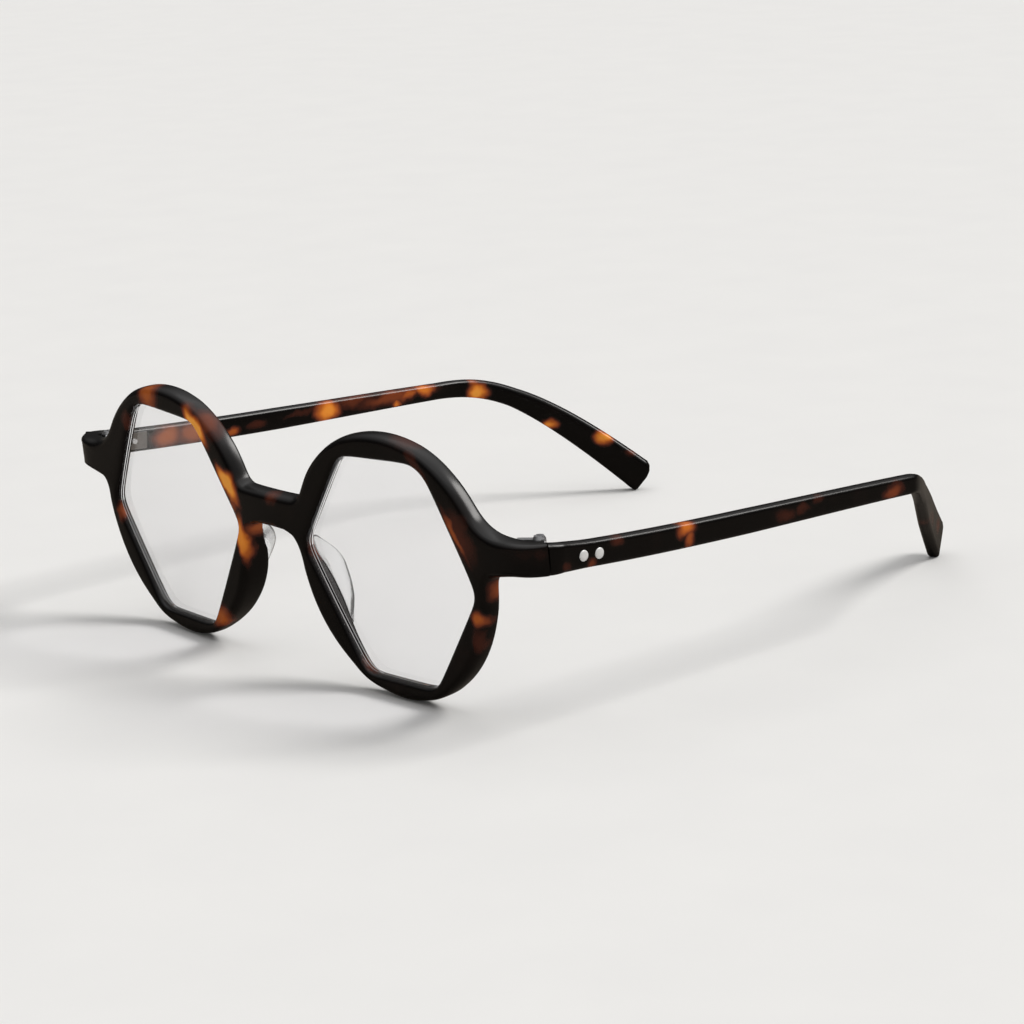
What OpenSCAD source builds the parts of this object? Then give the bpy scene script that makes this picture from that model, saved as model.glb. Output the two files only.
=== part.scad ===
// Polygonal eyeglasses: a round acetate front with six-sided lenses, two
// folding temples on five-barrel hinges, clear nose pads and steel cored
// temples. Units are millimetres. The glasses rest on the table at z = 0,
// +X is the wearer's left, the front looks towards -Y, the temples run to +Y.

/* [Lenses] */
// Width of a lens opening, from nasal corner to temporal corner
lens_width = 45.4; // [42:0.2:48]
// Height of a lens opening
lens_height = 43.8; // [41:0.2:46]
// Distance between the two lens centres
lens_spacing = 68; // [66:0.5:74]
// Sharpness of the lens corners, larger is a smaller corner radius
corner_power = 23; // [14:1:40]
// Sharpness of the upper corner next to the temple, which is softer
outer_corner_power = 12; // [8:1:30]
// Thickness of a lens
lens_thickness = 2; // [1.6:0.1:2.4]
// Radius of the front surface of a lens
lens_base_radius = 260; // [180:10:500]
// Gap between a lens edge and its groove
lens_gap = 0.15; // [0.1:0.01:0.25]

/* [Front] */
// Thickness of the acetate front
front_thickness = 4; // [3.6:0.1:4.6]
// Width of the rim above the lens
rim_width = 4.2; // [3.6:0.1:5.5]
// Forward lean of the front
front_tilt = 3.56; // [0:0.1:8]
// Angle each lens is turned back from the bridge
front_wrap = 3.13; // [0.5:0.1:6]
// Height of the top of the bridge above the lens centres
bridge_top = 10.1; // [8.5:0.1:11]
// Height of the underside of the bridge above the lens centres
bridge_bottom = 3.1; // [1.5:0.1:5]
// Radius of the rounded rear edges of the front
edge_radius = 0.6; // [0.4:0.05:0.8]
// Inset of the softly rounded front edges
front_edge = 1.4; // [0.8:0.05:1.6]
// Extra depth of the rim beside the nose
nose_flare = 2.2; // [0:0.1:3]
// Depth of the groove that holds a lens
groove_depth = 0.9; // [0.6:0.05:1]

/* [End pieces] */
// Height of the end piece at the joint
end_height = 6.1; // [5:0.1:7]
// Height of the end piece centre above the lens centres
end_level = 7; // [5.5:0.1:8]
// Radius of the outer corner seen from above
end_radius = 8; // [7:0.1:9.5]
// Direction of the outer face at the joint, 90 is straight back
joint_angle = 65; // [60:1:72]
// Gap between the end piece and the temple
joint_gap = 0.2; // [0.15:0.01:0.4]

/* [Temples] */
// Thickness of a temple
temple_thickness = 2.7; // [2.5:0.1:3.3]
// Height of a temple at the middle of its length
temple_height = 4.8; // [4.4:0.1:5.6]
// Height of the flat paddle at the tip
paddle_height = 7.8; // [6.5:0.1:8.5]
// Length from the joint to the start of the bend
straight_length = 93; // [85:1:100]
// Distance the tip runs back behind the start of the bend
bend_run = 38.4; // [35:0.1:45]
// Distance the tip comes in behind the ear
bend_inset = 26.7; // [18:0.1:30]
// Diameter of the core wire
wire_diameter = 1.3; // [1:0.1:1.5]

/* [Hinges] */
// Gap between a hinge barrel and the acetate next to it
barrel_clearance = 0.3; // [0.2:0.05:0.5]
// Radius of a hinge barrel
barrel_radius = 1.25; // [1.1:0.05:1.4]
// Radius of the hinge screw shaft
screw_radius = 0.7; // [0.6:0.02:0.8]
// Radial clearance of the screw in the barrels
screw_clearance = 0.03; // [0.02:0.01:0.06]
// Gap between two barrels
barrel_gap = 0.1; // [0.06:0.01:0.16]
// Thickness of a hinge leaf
leaf_thickness = 1; // [0.8:0.05:1.2]
// Gap around a leaf sunk in the acetate
leaf_gap = 0.05; // [0.03:0.01:0.1]
// Radius of a rivet shank
rivet_radius = 0.55; // [0.45:0.01:0.65]
// Radius of a rivet head
rivet_head_radius = 1.05; // [0.95:0.01:1.3]
// Distance between the two rivets of a temple
rivet_spacing = 3.8; // [3.2:0.1:4.4]
// Gap around a rivet
rivet_gap = 0.05; // [0.03:0.01:0.08]

/* [Nose pads] */
// Height of a nose pad behind the rim
pad_height = 4.2; // [2:0.1:5]
// Gap left for the glue under a pad
pad_gap = 0.12; // [0.1:0.01:0.2]

/* [Shown part] */
// Which part is drawn

/* [Hidden] */

// Plan curve of the front face: a soft bend at the bridge, a straight run
// behind each lens and the rounded corner of the end piece.
bridge_run = 6;
bridge_bend_radius = bridge_run * 180 / (PI * front_wrap);
bend_x = bridge_bend_radius * sin(front_wrap);
bend_y = bridge_bend_radius * (1 - cos(front_wrap));
centre_s = bridge_run + (lens_spacing / 2 - bend_x) / cos(front_wrap);
corner_u = lens_width / 2 + 9.6;
corner_s = centre_s + corner_u;
end_s = corner_s + end_radius * (joint_angle - front_wrap) * PI / 180;
end_u = end_s - centre_s;
line_y = bend_y + (centre_s - bridge_run) * sin(front_wrap);
corner_start = [bend_x + (corner_s - bridge_run) * cos(front_wrap),
    bend_y + (corner_s - bridge_run) * sin(front_wrap) - line_y];
corner_centre = corner_start + end_radius * [-sin(front_wrap), cos(front_wrap)];

function plan_angle(s) = s < bridge_run ? front_wrap * s / bridge_run
    : s < corner_s ? front_wrap
    : front_wrap + (s - corner_s) * 180 / (PI * end_radius);
function plan_point(s) = s < bridge_run
    ? [bridge_bend_radius * sin(plan_angle(s)), bridge_bend_radius * (1 - cos(plan_angle(s))) - line_y]
    : s < corner_s
    ? [bend_x + (s - bridge_run) * cos(front_wrap), bend_y + (s - bridge_run) * sin(front_wrap) - line_y]
    : corner_centre + end_radius * [sin(plan_angle(s)), -cos(plan_angle(s))];
// Wraps a point of the flat drawing round the plan curve: u runs outwards
// from the lens centre, v up, d back from the front face.
function wrap_point(p) = let (s = max(0, centre_s + p[0]), a = plan_angle(s), c = plan_point(s))
    [s == 0 ? 0 : c[0] - p[2] * sin(a), c[1] + p[2] * cos(a), p[1]];

// Lens opening: six sides blended into one closed curve about the centre.
lens_corners = [[-0.485, 0.95], [0.51, 1.0], [1.035, -0.06], [0.436, -1.01], [-0.418, -1.01], [-1.053, 0.07]];
function lens_corner(i) = [lens_corners[i % 6][0] * lens_width / 2, lens_corners[i % 6][1] * lens_height / 2];
lens_sides = [for (i = [0:5]) let (a = lens_corner(i), b = lens_corner(i + 1), t = (b - a) / norm(b - a), n = [-t[1], t[0]])
    [n * a > 0 ? n : -n, abs(n * a)]];
function radial(a) = [cos(a), sin(a)];
soft_corner = atan2(lens_corner(1)[1], lens_corner(1)[0]);
function power_at(a) = corner_power + (outer_corner_power - corner_power) * exp(-pow((a - soft_corner - 360 * round((a - soft_corner) / 360)) / 18, 2));
function lens_radius(a) = let (d = radial(a), w = power_at(a))
    1 / pow([for (s = lens_sides) pow(max(0, d * s[0] / s[1]), w)] * [1, 1, 1, 1, 1, 1], 1 / w);

// Outer edge of the rim: nearly round, a little fuller at the upper corners.
rim_radius = lens_height / 2 + rim_width;
rim_table = [0.1, 0.75, 0.5, 0, 0.35, 0.6, -0.6, -0.95, -0.8, -0.15, -0.2, -0.3];
function rim_entry(i) = rim_table[(i + 24) % 12];
function smooth4(a, b, c, d, t) = b + t * (c - a) / 2 + t * t * (a - 2.5 * b + 2 * c - d / 2)
    + t * t * t * (1.5 * b - 1.5 * c + (d - a) / 2);
function rim_offset(a) = let (q = ((a % 360) + 360) % 360 / 30, i = floor(q))
    smooth4(rim_entry(i - 1), rim_entry(i), rim_entry(i + 1), rim_entry(i + 2), q - i);
function rim_point(a) = (rim_radius + rim_offset(a)) * radial(a);

// One station of the front: outer point, outward direction of its rounded
// edge, angle of the matching lens point, kind (1 on the mid plane).
function rim_station(a) = [rim_point(a), radial(a), a, 0];
function bezier(a, b, c, t) = (1 - t) * (1 - t) * a + 2 * t * (1 - t) * b + t * t * c;
function bezier_dir(a, b, c, t) = let (d = (1 - t) * (b - a) + t * (c - b)) d / norm(d);
function fillet(a, b, c, n, from) = [for (i = [from:n]) let (t = i / n, d = bezier_dir(a, b, c, t))
    [bezier(a, b, c, t), [d[1], -d[0]]]];
function run(a, b, n, side) = [for (i = [1:n]) [a + (b - a) * i / n, side]];
function spread(list, a0, a1) = [for (i = [0:len(list) - 1])
    [list[i][0], list[i][1], a0 + (a1 - a0) * (i + 0.5) / len(list), list[i][0][0] < 0.01 - centre_s ? 1 : 0]];

bridge_from = 152;
bridge_to = 189;
end_from = 359;
end_to = 394;
bridge_a = rim_point(bridge_from);
bridge_b = rim_point(bridge_to);
mid_u = -centre_s;
bridge_path = concat(
    fillet(bridge_a, [bridge_a[0] - 0.8, bridge_top + 0.1], [bridge_a[0] - 3.2, bridge_top], 5, 1),
    run([bridge_a[0] - 3.2, bridge_top], [mid_u, bridge_top], 2, [0, 1]),
    run([mid_u, bridge_top], [mid_u, bridge_bottom], 3, [0, 0]),
    [[[mid_u, bridge_bottom], [0, -1]]],
    run([mid_u, bridge_bottom], [mid_u + 5, bridge_bottom - 0.2], 2, [0, -1]),
    fillet([mid_u + 5, bridge_bottom - 0.2], [bridge_b[0] - 0.6, bridge_bottom - 0.7], bridge_b, 5, 1));
bridge_stations = [for (i = [0:len(bridge_path) - 1]) if (!(i == 9)) bridge_path[i]];

end_top = end_level + end_height / 2;
end_bottom = end_level - end_height / 2;
notch_level = end_bottom - 1.05;
end_a = rim_point(end_to);
end_b = rim_point(end_from);
end_path = concat(
    fillet(end_b, [end_b[0] + 0.1, notch_level], [end_b[0] + 2.2, notch_level], 5, 0),
    run([end_b[0] + 2.2, notch_level], [corner_u + 1, end_bottom - 0.1], 2, [0, -1]),
    run([corner_u + 1, end_bottom - 0.1], [end_u, end_bottom], 3, [0, -1]),
    run([end_u, end_bottom], [end_u, end_top], 4, [0, 0]),
    [[[end_u, end_top], [0, 1]]],
    run([end_u, end_top], [corner_u, end_top + 0.3], 4, [0, 1]),
    fillet([corner_u - 1, end_top + 0.35], [end_a[0] + 3, end_top + 0.4], end_a, 6, 0));
end_stations = [for (i = [0:len(end_path) - 1]) if (!(i == 13)) end_path[i]];

function steps(a, b, n) = [for (i = [0:n - 1]) a + (b - a) * i / n];
function corner_steps(c) = [for (o = [-8, -5, -2.5, 0, 2.5, 5, 8]) c + o];
function corner_angle(i) = let (p = lens_corner(i)) (atan2(p[1], p[0]) + 360) % 360;
upper_angles = concat(steps(end_to, corner_angle(1) + 352, 3), [for (a = corner_steps(corner_angle(1))) a + 360],
    [for (a = steps(corner_angle(1) + 8, corner_angle(0) - 8, 5)) if (a > corner_angle(1) + 8) a + 360],
    [for (a = corner_steps(corner_angle(0))) a + 360],
    [for (a = steps(corner_angle(0) + 8, bridge_from, 4)) if (a > corner_angle(0) + 8) a + 360]);
lower_angles = concat(steps(bridge_to, corner_angle(4) - 8, 6), corner_steps(corner_angle(4)),
    [for (a = steps(corner_angle(4) + 8, corner_angle(3) - 8, 4)) if (a > corner_angle(4) + 8) a],
    corner_steps(corner_angle(3)),
    [for (a = steps(corner_angle(3) + 8, corner_angle(2) - 8, 5)) if (a > corner_angle(3) + 8) a],
    [for (o = [-8, -5, -2.5, 0]) corner_angle(2) + o]);
front_stations = concat(
    [for (a = upper_angles) rim_station(a - 360)],
    spread(bridge_stations, bridge_from, bridge_to),
    [for (a = lower_angles) rim_station(a)],
    spread(end_stations, end_from - 1, end_to));

// Section of the front at one station, from the front lip of the lens
// opening over the front face and round the back to the lens groove.
lip = 0.5;
groove_middle = 2.1;
groove_half = 0.85;
face_steps = [0.45, 0.66, 0.83];
function at(p, d) = [p[0], p[1], d];
// The rim gets deeper beside the nose: less at the lens, more outside.
function flare(a, last) = lookup(a, [[181, 0], [185, 0.35], [190, 0.9], [195, 1], [210, 1], [last - 10, 0.5], [last, 0]]);
function flare_in(a) = 0.45 * nose_flare * flare(a, 228);
function flare_out(a) = nose_flare * flare(a, 242);
function front_section(st) = let (
    m = radial(st[2]),
    q = lens_radius(st[2]) * m,
    o = st[0],
    n = st[1],
    r = edge_radius,
    e = min(front_edge, 0.4 * norm(o - q)) * lookup(o[0], [[corner_u - 2, 1], [end_u, 0.45]]),
    g = 1.35 * e,
    a = q + lip * m,
    b = o - e * n,
    c = o - r * n,
    ti = front_thickness + flare_in(st[2]),
    to = front_thickness + flare_out(st[2]))
    concat(
        [at(a, 0)], [for (f = face_steps) at(a + (b - a) * f, 0)],
        [at(b, 0), at(o - 0.5 * e * n, 0.134 * g), at(o - 0.134 * e * n, 0.5 * g), at(o, g)],
        [at(o, to - r), at(o - 0.3 * r * n, to - 0.3 * r), at(c, to)],
        [for (i = [2:-1:0]) at(a + (c - a) * face_steps[i], ti + (to - ti) * face_steps[i])],
        [at(a, ti), at(q, ti - lip), at(q, groove_middle + groove_half), at(q + groove_depth * m, groove_middle),
            at(q, groove_middle - groove_half), at(q, lip)]);
section_size = 20;
edge_first = 4;
edge_last = 10;
station_count = len(front_stations);
half_points = [for (st = front_stations) for (p = front_section(st)) wrap_point(p)];
half_size = len(half_points);

// Both halves share the points of the mid plane, so the front is one skin.
function front_index(side, k, j) = let (kk = k % station_count, jj = j % section_size)
    kk * section_size + jj + ((side == 1 && !(front_stations[kk][3] == 1 && jj >= edge_first && jj <= edge_last)) ? half_size : 0);
function inner_wall(k, j) = front_stations[k][3] == 1 && front_stations[(k + 1) % station_count][3] == 1
    && j >= edge_first && j < edge_last;
front_faces = [for (side = [0, 1]) for (k = [0:station_count - 1]) for (j = [0:section_size - 1]) if (!inner_wall(k, j))
    let (f = [front_index(side, k, j), front_index(side, k + 1, j), front_index(side, k + 1, j + 1), front_index(side, k, j + 1)])
    each (side == 0 ? [[f[0], f[1], f[2]], [f[0], f[2], f[3]]] : [[f[2], f[1], f[0]], [f[3], f[2], f[0]]])];
front_points = concat(half_points, [for (p = half_points) [-p[0], p[1], p[2]]]);

// Height of the lens centres when the rims stand on the table.
function tilt_point(p) = [p[0], p[1] * cos(front_tilt) - p[2] * sin(front_tilt), p[1] * sin(front_tilt) + p[2] * cos(front_tilt)];
front_placed = [for (p = half_points) tilt_point(p)];
centre_z = -min([for (p = front_placed) p[2]]);
function front_world(p) = tilt_point(p) + [0, 0, centre_z];

// Hinge pin, on the plane of the joint, in the frame of the front.
joint_out = plan_point(end_s);
joint_in_dir = [-sin(joint_angle), cos(joint_angle)];
joint_run_dir = [cos(joint_angle), sin(joint_angle)];
pin_depth = front_thickness + barrel_radius + barrel_clearance;
pin_xy = joint_out + pin_depth * joint_in_dir + joint_gap / 2 * joint_run_dir;
barrel_span = end_height - 0.7;
barrel_height = (barrel_span - 4 * barrel_gap) / 5;
barrel_base = end_level - barrel_span / 2;

// Temple centre line: round the corner, back to the bend, then down and in.
temple_arc = 90 - joint_angle;
joint_recess = 0.06;
function temple_height_at(q) = lookup(q, [[-0.1, end_height - 0.1], [0, end_height - 0.55], [0.06, temple_height + 0.25],
    [0.3, temple_height + 0.1], [0.5, temple_height], [1, temple_height - 0.75], [1.25, temple_height - 0.65],
    [1.45, temple_height - 0.3], [1.6, temple_height + 0.45], [1.75, paddle_height - 1.4], [1.9, paddle_height - 0.3], [2.1, paddle_height]]);
joint_mid = front_world([joint_out[0], joint_out[1], end_level]);
temple_outer_x = corner_centre[0] + end_radius;
corner_mid = front_world([corner_centre[0] + end_radius, corner_centre[1], end_level - 0.35]);
straight_start = [temple_outer_x - temple_thickness / 2, corner_mid[1], corner_mid[2]];
straight_drop = [-0.1, -0.055];
straight_rise = straight_length * 0.0575;
bend_start = straight_start + [0, straight_length, -straight_rise];
bend_tip = [bend_start[0] - bend_inset, bend_start[1] + bend_run, 0];
tip_dir = unit([-0.305, 0.664, -0.683]);
function hermite(a, b, ta, tb, t) = (2 * t * t * t - 3 * t * t + 1) * a + (t * t * t - 2 * t * t + t) * ta
    + (3 * t * t - 2 * t * t * t) * b + (t * t * t - t * t) * tb;
bend_lead = 8.25;
bend_trail = 38.4;
function bend_point(t, tip) = let (b1 = bend_start + bend_lead * [0, 1, straight_drop[1]], b2 = tip - bend_trail * tip_dir, s = 1 - t)
    s * s * s * bend_start + 3 * s * s * t * b1 + 3 * s * t * t * b2 + t * t * t * tip;
// Position along the temple: 0 to 1 the straight run, 1 to 2 the bend.
function temple_line(q, tip) = q <= 1
    ? [straight_start[0] - joint_recess * max(0, 1 - q / 0.2), straight_start[1] + straight_length * q,
        hermite(straight_start[2], bend_start[2], straight_drop[0] * straight_length, straight_drop[1] * straight_length, q)]
    : bend_point(q - 1, tip);
function unit(v) = v / norm(v);
function temple_tangent(q, tip) = unit(temple_line(min(2, q + 0.01), tip) - temple_line(max(0, q - 0.01), tip));
function up_of(t) = unit([0, 0, 1] - t[2] * t);
// Frame of a temple section: centre, outward direction, up direction.
function temple_frame(q, tip) = let (t = temple_tangent(q, tip), u = up_of(t)) [temple_line(q, tip), cross(t, u), u];
front_up = [0, -sin(front_tilt), cos(front_tilt)];
// Section with rounded corners, half sizes a (outwards) and b (up).
function ring(f, a, b, r) = let (c = a - r, d = b - r, k = 0.7071 * r)
    [for (p = [[a, -d], [a, d], [c + k, d + k], [c, b], [-c, b], [-c - k, d + k], [-a, d], [-a, -d], [-c - k, -d - k], [-c, -b], [c, -b], [c + k, -d - k]])
        f[0] + p[0] * f[1] - p[1] * f[2]];
temple_edge = 0.6;
// Corner rings: the outer face carries on round the corner of the front.
corner_rings = [for (i = [0:3]) let (
    f = i / 4,
    a = i == 0 ? joint_angle : joint_angle + temple_arc * f,
    o = corner_centre + end_radius * [sin(a), -cos(a)] + (i == 0 ? joint_gap : 0) * joint_run_dir,
    n = [sin(a), -cos(a)],
    w = front_world([o[0] - n[0] * temple_thickness / 2, o[1] - n[1] * temple_thickness / 2, end_level - 0.35 * f]),
    u = unit((1 - f) * front_up + f * [0, 0.1, 1]),
    out = [n[0], n[1] * cos(front_tilt), n[1] * sin(front_tilt)])
    ring([w, out, u], temple_thickness / 2, temple_height_at(-0.1 * (1 - f)) / 2, temple_edge)];
straight_steps = [0, 0.06, 0.14, 0.2, 0.3, 0.42, 0.52, 0.66, 0.8, 0.92];
bend_steps = [for (i = [0:15]) 1 + i / 16];
function temple_rings(tip) = concat(corner_rings,
    [for (q = concat(straight_steps, bend_steps)) ring(temple_frame(q, tip), temple_thickness / 2, temple_height_at(q) / 2, temple_edge)],
    tip_rings(tip));
// Square end with a rounded upper corner.
function tip_rings(tip) = let (f = temple_frame(2, tip), t = tip_dir, h = temple_height_at(2) / 2, w = temple_thickness / 2)
    [ring([f[0] - 0.9 * t, f[1], f[2]], w, h, temple_edge),
        ring([f[0] + 0.2 * t - 0.25 * f[2], f[1], f[2]], w - 0.02, h - 0.3, temple_edge),
        ring([f[0] + 0.95 * t - 0.7 * f[2], f[1], f[2]], w - 0.18, h - 0.9, temple_edge),
        ring([f[0] + 1.3 * t - 1.1 * f[2], f[1], f[2]], w - 0.6, h - 1.75, temple_edge / 2)];
tip_low = min([for (r = temple_rings(bend_tip)) for (p = r) p[2]]);
temple_tip = bend_tip - [0, 0, tip_low];
temple_loft = temple_rings(temple_tip);
ring_size = 12;

// The whole object is centred front to back.
front_y = min([for (p = front_placed) p[1]]);
rear_y = max([for (r = temple_loft) for (p = r) p[1]]);
shift_y = -(front_y + rear_y) / 2;

// Leaf sizes.
front_leaf_length = 5;
temple_leaf_length = 11;
leaf_height = end_height - 1.4;
temple_leaf_height = end_height - 2.5;
arm_thickness = 1.3;
rivet_first = 13.6;
pin_world = front_world([pin_xy[0], pin_xy[1], 0]);
function temple_at_y(y) = temple_line((y - straight_start[1]) / straight_length, temple_tip);
temple_inner_x = straight_start[0] - temple_thickness / 2;
leaf_level = temple_at_y(14)[2];
leaf_slope = atan((temple_at_y(19)[2] - temple_at_y(9)[2]) / 10);
leaf_y = 9.6;
leaf_z = temple_at_y(leaf_y)[2];

module loft(rings) {
    n = len(rings[0]);
    m = len(rings);
    points = [for (r = rings) for (p = r) p];
    sides = [for (i = [0:m - 2]) for (j = [0:n - 1]) let (a = i * n + j, b = i * n + (j + 1) % n)
        each [[a, a + n, b + n], [a, b + n, b]]];
    polyhedron(points, concat(sides, [[for (j = [0:n - 1]) j]], [[for (j = [n - 1:-1:0]) (m - 1) * n + j]]), convexity = 8);
}

module place() {
    translate([0, shift_y, 0]) children();
}

module place_front() {
    translate([0, shift_y, centre_z]) rotate([front_tilt, 0, 0]) children();
}

module side(right) {
    if (right) mirror([1, 0, 0]) children();
    else children();
}

module pin_hole(r) {
    translate([pin_xy[0], pin_xy[1], barrel_base - 3]) cylinder(r = r, h = barrel_span + 6, $fn = 48);
}

// Straight bar between two plan points, standing from z0 up.
module bar(a, b, width, z0, height) {
    d = b - a;
    translate([a[0], a[1], z0]) rotate([0, 0, atan2(d[1], d[0])])
        translate([0, -width / 2, 0]) cube([norm(d), width, height]);
}

leaf_plane = corner_start + front_thickness * [-sin(front_wrap), cos(front_wrap)];
module front_leaf_plate() {
    translate([leaf_plane[0], leaf_plane[1], end_level - leaf_height / 2]) rotate([0, 0, front_wrap])
        translate([-front_leaf_length - 1, leaf_gap, 0]) cube([front_leaf_length, leaf_thickness, leaf_height]);
}

module front_frame() {
    color([0.12, 0.07, 0.05]) place_front() polyhedron(front_points, front_faces, convexity = 10);
}

// Lens: two curved faces and a bevelled edge that sits in the groove.
lens_angles = concat([for (i = [0:5]) each [for (o = [-8, -4, 0, 4, 8]) corner_angle(i) + o]],
    [for (i = [0:5]) let (a = corner_angle((i + 1) % 6), b = corner_angle(i), w = ((b - a) + 360) % 360) each [for (f = [0.32, 0.5, 0.68]) a + w * f]]);
function sorted(v) = len(v) < 2 ? v : let (p = v[floor(len(v) / 2)])
    concat(sorted([for (x = v) if (x < p) x]), [p], sorted([for (x = v) if (x > p) x]));
lens_steps = sorted([for (a = lens_angles) (a + 720) % 360]);
lens_front = 0.25;
bevel_half = 0.5;
function lens_sag(r) = r * r / (2 * lens_base_radius);
function lens_point(a, k, d) = let (r = lens_radius(a) - lens_gap) [k * r * cos(a), k * r * sin(a), d + lens_sag(k * r)];
function lens_ring(k, d) = [for (a = lens_steps) wrap_point(lens_point(a, k, d))];
function bevel_ring(out, d) = [for (a = lens_steps) let (r = lens_radius(a) - lens_gap + out) wrap_point([r * cos(a), r * sin(a), d])];

module lens(right) {
    n = len(lens_steps);
    rings = [lens_ring(0.5, lens_front),
        lens_ring(1, lens_front),
        bevel_ring(0, groove_middle - bevel_half),
        bevel_ring(groove_depth - lens_gap, groove_middle),
        bevel_ring(0, groove_middle + bevel_half),
        lens_ring(1, lens_front + lens_thickness),
        lens_ring(0.5, lens_front + lens_thickness)];
    points = concat([for (r = rings) for (p = r) p], [wrap_point([0, 0, lens_front]), wrap_point([0, 0, lens_front + lens_thickness])]);
    sides = [for (i = [0:5]) for (j = [0:n - 1]) let (a = i * n + j, b = i * n + (j + 1) % n) each [[a, b, b + n], [a, b + n, a + n]]];
    fans = [for (j = [0:n - 1]) each [[7 * n, (j + 1) % n, j], [7 * n + 1, 6 * n + j, 6 * n + (j + 1) % n]]];
    color([0.85, 0.88, 0.9, 0.4]) place_front() side(right) polyhedron(points, concat(sides, fans), convexity = 4);
}

// Nose pad: a clear bump glued on the deep nasal part of the rim, flush
// with the lens side of the rim and highest near its upper end.
pad_from = 174.5;
pad_to = 222;
pad_profile = [[0, 0.1], [0.07, 0.45], [0.137, 0.78], [0.2, 0.94], [0.33, 1], [0.45, 0.96],
    [0.58, 0.84], [0.705, 0.65], [0.83, 0.4], [0.92, 0.2], [1, 0.06]];
pad_section = [[1, 0], [0.8, 0.3], [0.55, 0.64], [0.32, 0.92], [0.15, 1], [0.05, 0.88], [0.01, 0.6], [0, 0]];
function rear_depth(a, r) = let (r0 = lens_radius(a) + lip, r1 = rim_radius + rim_offset(a) - edge_radius, f = (r - r0) / (r1 - r0))
    front_thickness + flare_in(a) + (flare_out(a) - flare_in(a)) * f;
function pad_lift(a) = 0.45 * max(0, min(1, (194 - a) / 8));
module nose_pad(right) {
    rings = [for (k = pad_profile) let (
        a = pad_from + (pad_to - pad_from) * k[0],
        r0 = lens_radius(a) + lip + 0.05,
        r1 = rim_radius + rim_offset(a) - edge_radius - 0.1,
        w = min(3.4, r1 - r0) * (0.7 + 0.3 * k[1]))
        [for (p = pad_section) let (r = r0 + p[0] * w)
            wrap_point([r * cos(a), r * sin(a), rear_depth(a, r) + pad_gap + pad_lift(a) + p[1] * k[1] * pad_height])]];
    color([0.85, 0.87, 0.88, 0.5]) place_front() side(right) loft(rings);
}

module barrel(i) {
    translate([pin_xy[0], pin_xy[1], barrel_base + i * (barrel_height + barrel_gap)])
        cylinder(r = barrel_radius, h = barrel_height, $fn = 48);
}

// Front leaf: a plate on the back of the end piece with three barrels.
module front_hinge(right) {
    foot = leaf_plane + [-1.5, leaf_gap + arm_thickness / 2 + 0.1];
    color([0.72, 0.72, 0.74]) place_front() side(right) difference() {
        union() {
            front_leaf_plate();
            for (i = [0, 2, 4]) {
                barrel(i);
                bar(foot, pin_xy, arm_thickness, barrel_base + i * (barrel_height + barrel_gap), barrel_height);
            }
        }
        pin_hole(screw_radius + screw_clearance);
    }
}

module temple_plate(extra) {
    translate([temple_inner_x, leaf_y, leaf_z]) rotate([leaf_slope, 0, 0])
        translate([-0.3 - (extra > 0 ? 2 : 0), -extra, -temple_leaf_height / 2 - extra])
            cube([leaf_thickness + extra + (extra > 0 ? 2 : 0), temple_leaf_length + 2 * extra, temple_leaf_height + 2 * extra]);
}

module rivet_axis(i, r, x0, x1) {
    y = rivet_first + i * rivet_spacing;
    translate([x0, y, temple_at_y(y)[2]]) rotate([0, 90, 0]) cylinder(r = r, h = x1 - x0, $fn = 48);
}

// Temple leaf: a riveted plate with the two barrels between the others.
module temple_hinge(right) {
    foot = [temple_inner_x - 0.48, leaf_y + 1.5];
    color([0.72, 0.72, 0.74]) side(right) difference() {
        union() {
            place() temple_plate(0);
            place_front() for (i = [1, 3]) {
                barrel(i);
                bar(foot, pin_xy, arm_thickness, barrel_base + i * (barrel_height + barrel_gap), barrel_height);
            }
        }
        place_front() pin_hole(screw_radius + screw_clearance);
        place() for (i = [0, 1]) rivet_axis(i, rivet_radius + rivet_gap, 60, 80);
    }
}

// Screw: slotted head on top of the barrels, shaft through all five.
module hinge_screw(right) {
    color([0.78, 0.78, 0.8]) place_front() side(right) difference() {
        translate([pin_xy[0], pin_xy[1], barrel_base]) {
            cylinder(r = screw_radius, h = barrel_span + 0.3, $fn = 48);
            translate([0, 0, barrel_span + 0.05]) cylinder(r1 = barrel_radius - 0.05, r2 = barrel_radius - 0.3, h = 0.55, $fn = 48);
        }
        translate([pin_xy[0] - 2, pin_xy[1] - 0.15, barrel_base + barrel_span + 0.35]) cube([4, 0.3, 1]);
    }
}

// Core wire, a bent round rod inside the temple.
wire_from = (leaf_y + temple_leaf_length + 0.3 - straight_start[1]) / straight_length;
function wire_rings(r, from) = [for (q = concat([from], [0.3, 0.5, 0.7, 0.9], [for (i = [0:9]) 1 + i * 0.09]))
    let (f = temple_frame(q, temple_tip)) [for (i = [0:7]) f[0] + r * (cos(45 * i) * f[1] - sin(45 * i) * f[2])]];

module temple(right) {
    color([0.12, 0.07, 0.05]) place() side(right) difference() {
        loft(temple_loft);
        temple_plate(leaf_gap);
        for (i = [0, 1]) rivet_axis(i, rivet_radius + rivet_gap, 60, 80);
        loft(wire_rings(wire_diameter / 2 + 0.05, wire_from - 0.008));
    }
}

module core_wire(right) {
    color([0.7, 0.7, 0.7]) place() side(right) loft(wire_rings(wire_diameter / 2, wire_from));
}

// Rivet: domed head outside, shank through the temple and the leaf.
module rivet(i, right) {
    y = rivet_first + i * rivet_spacing;
    out_x = temple_at_y(y)[0] + temple_thickness / 2;
    color([0.8, 0.8, 0.82]) place() side(right) {
        rivet_axis(i, rivet_radius, temple_inner_x - 0.4, out_x + 0.1);
        translate([out_x + 0.02, y, temple_at_y(y)[2]]) rotate([0, 90, 0]) cylinder(r1 = rivet_head_radius, r2 = rivet_head_radius - 0.2, h = 0.2, $fn = 48);
    }
}

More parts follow.
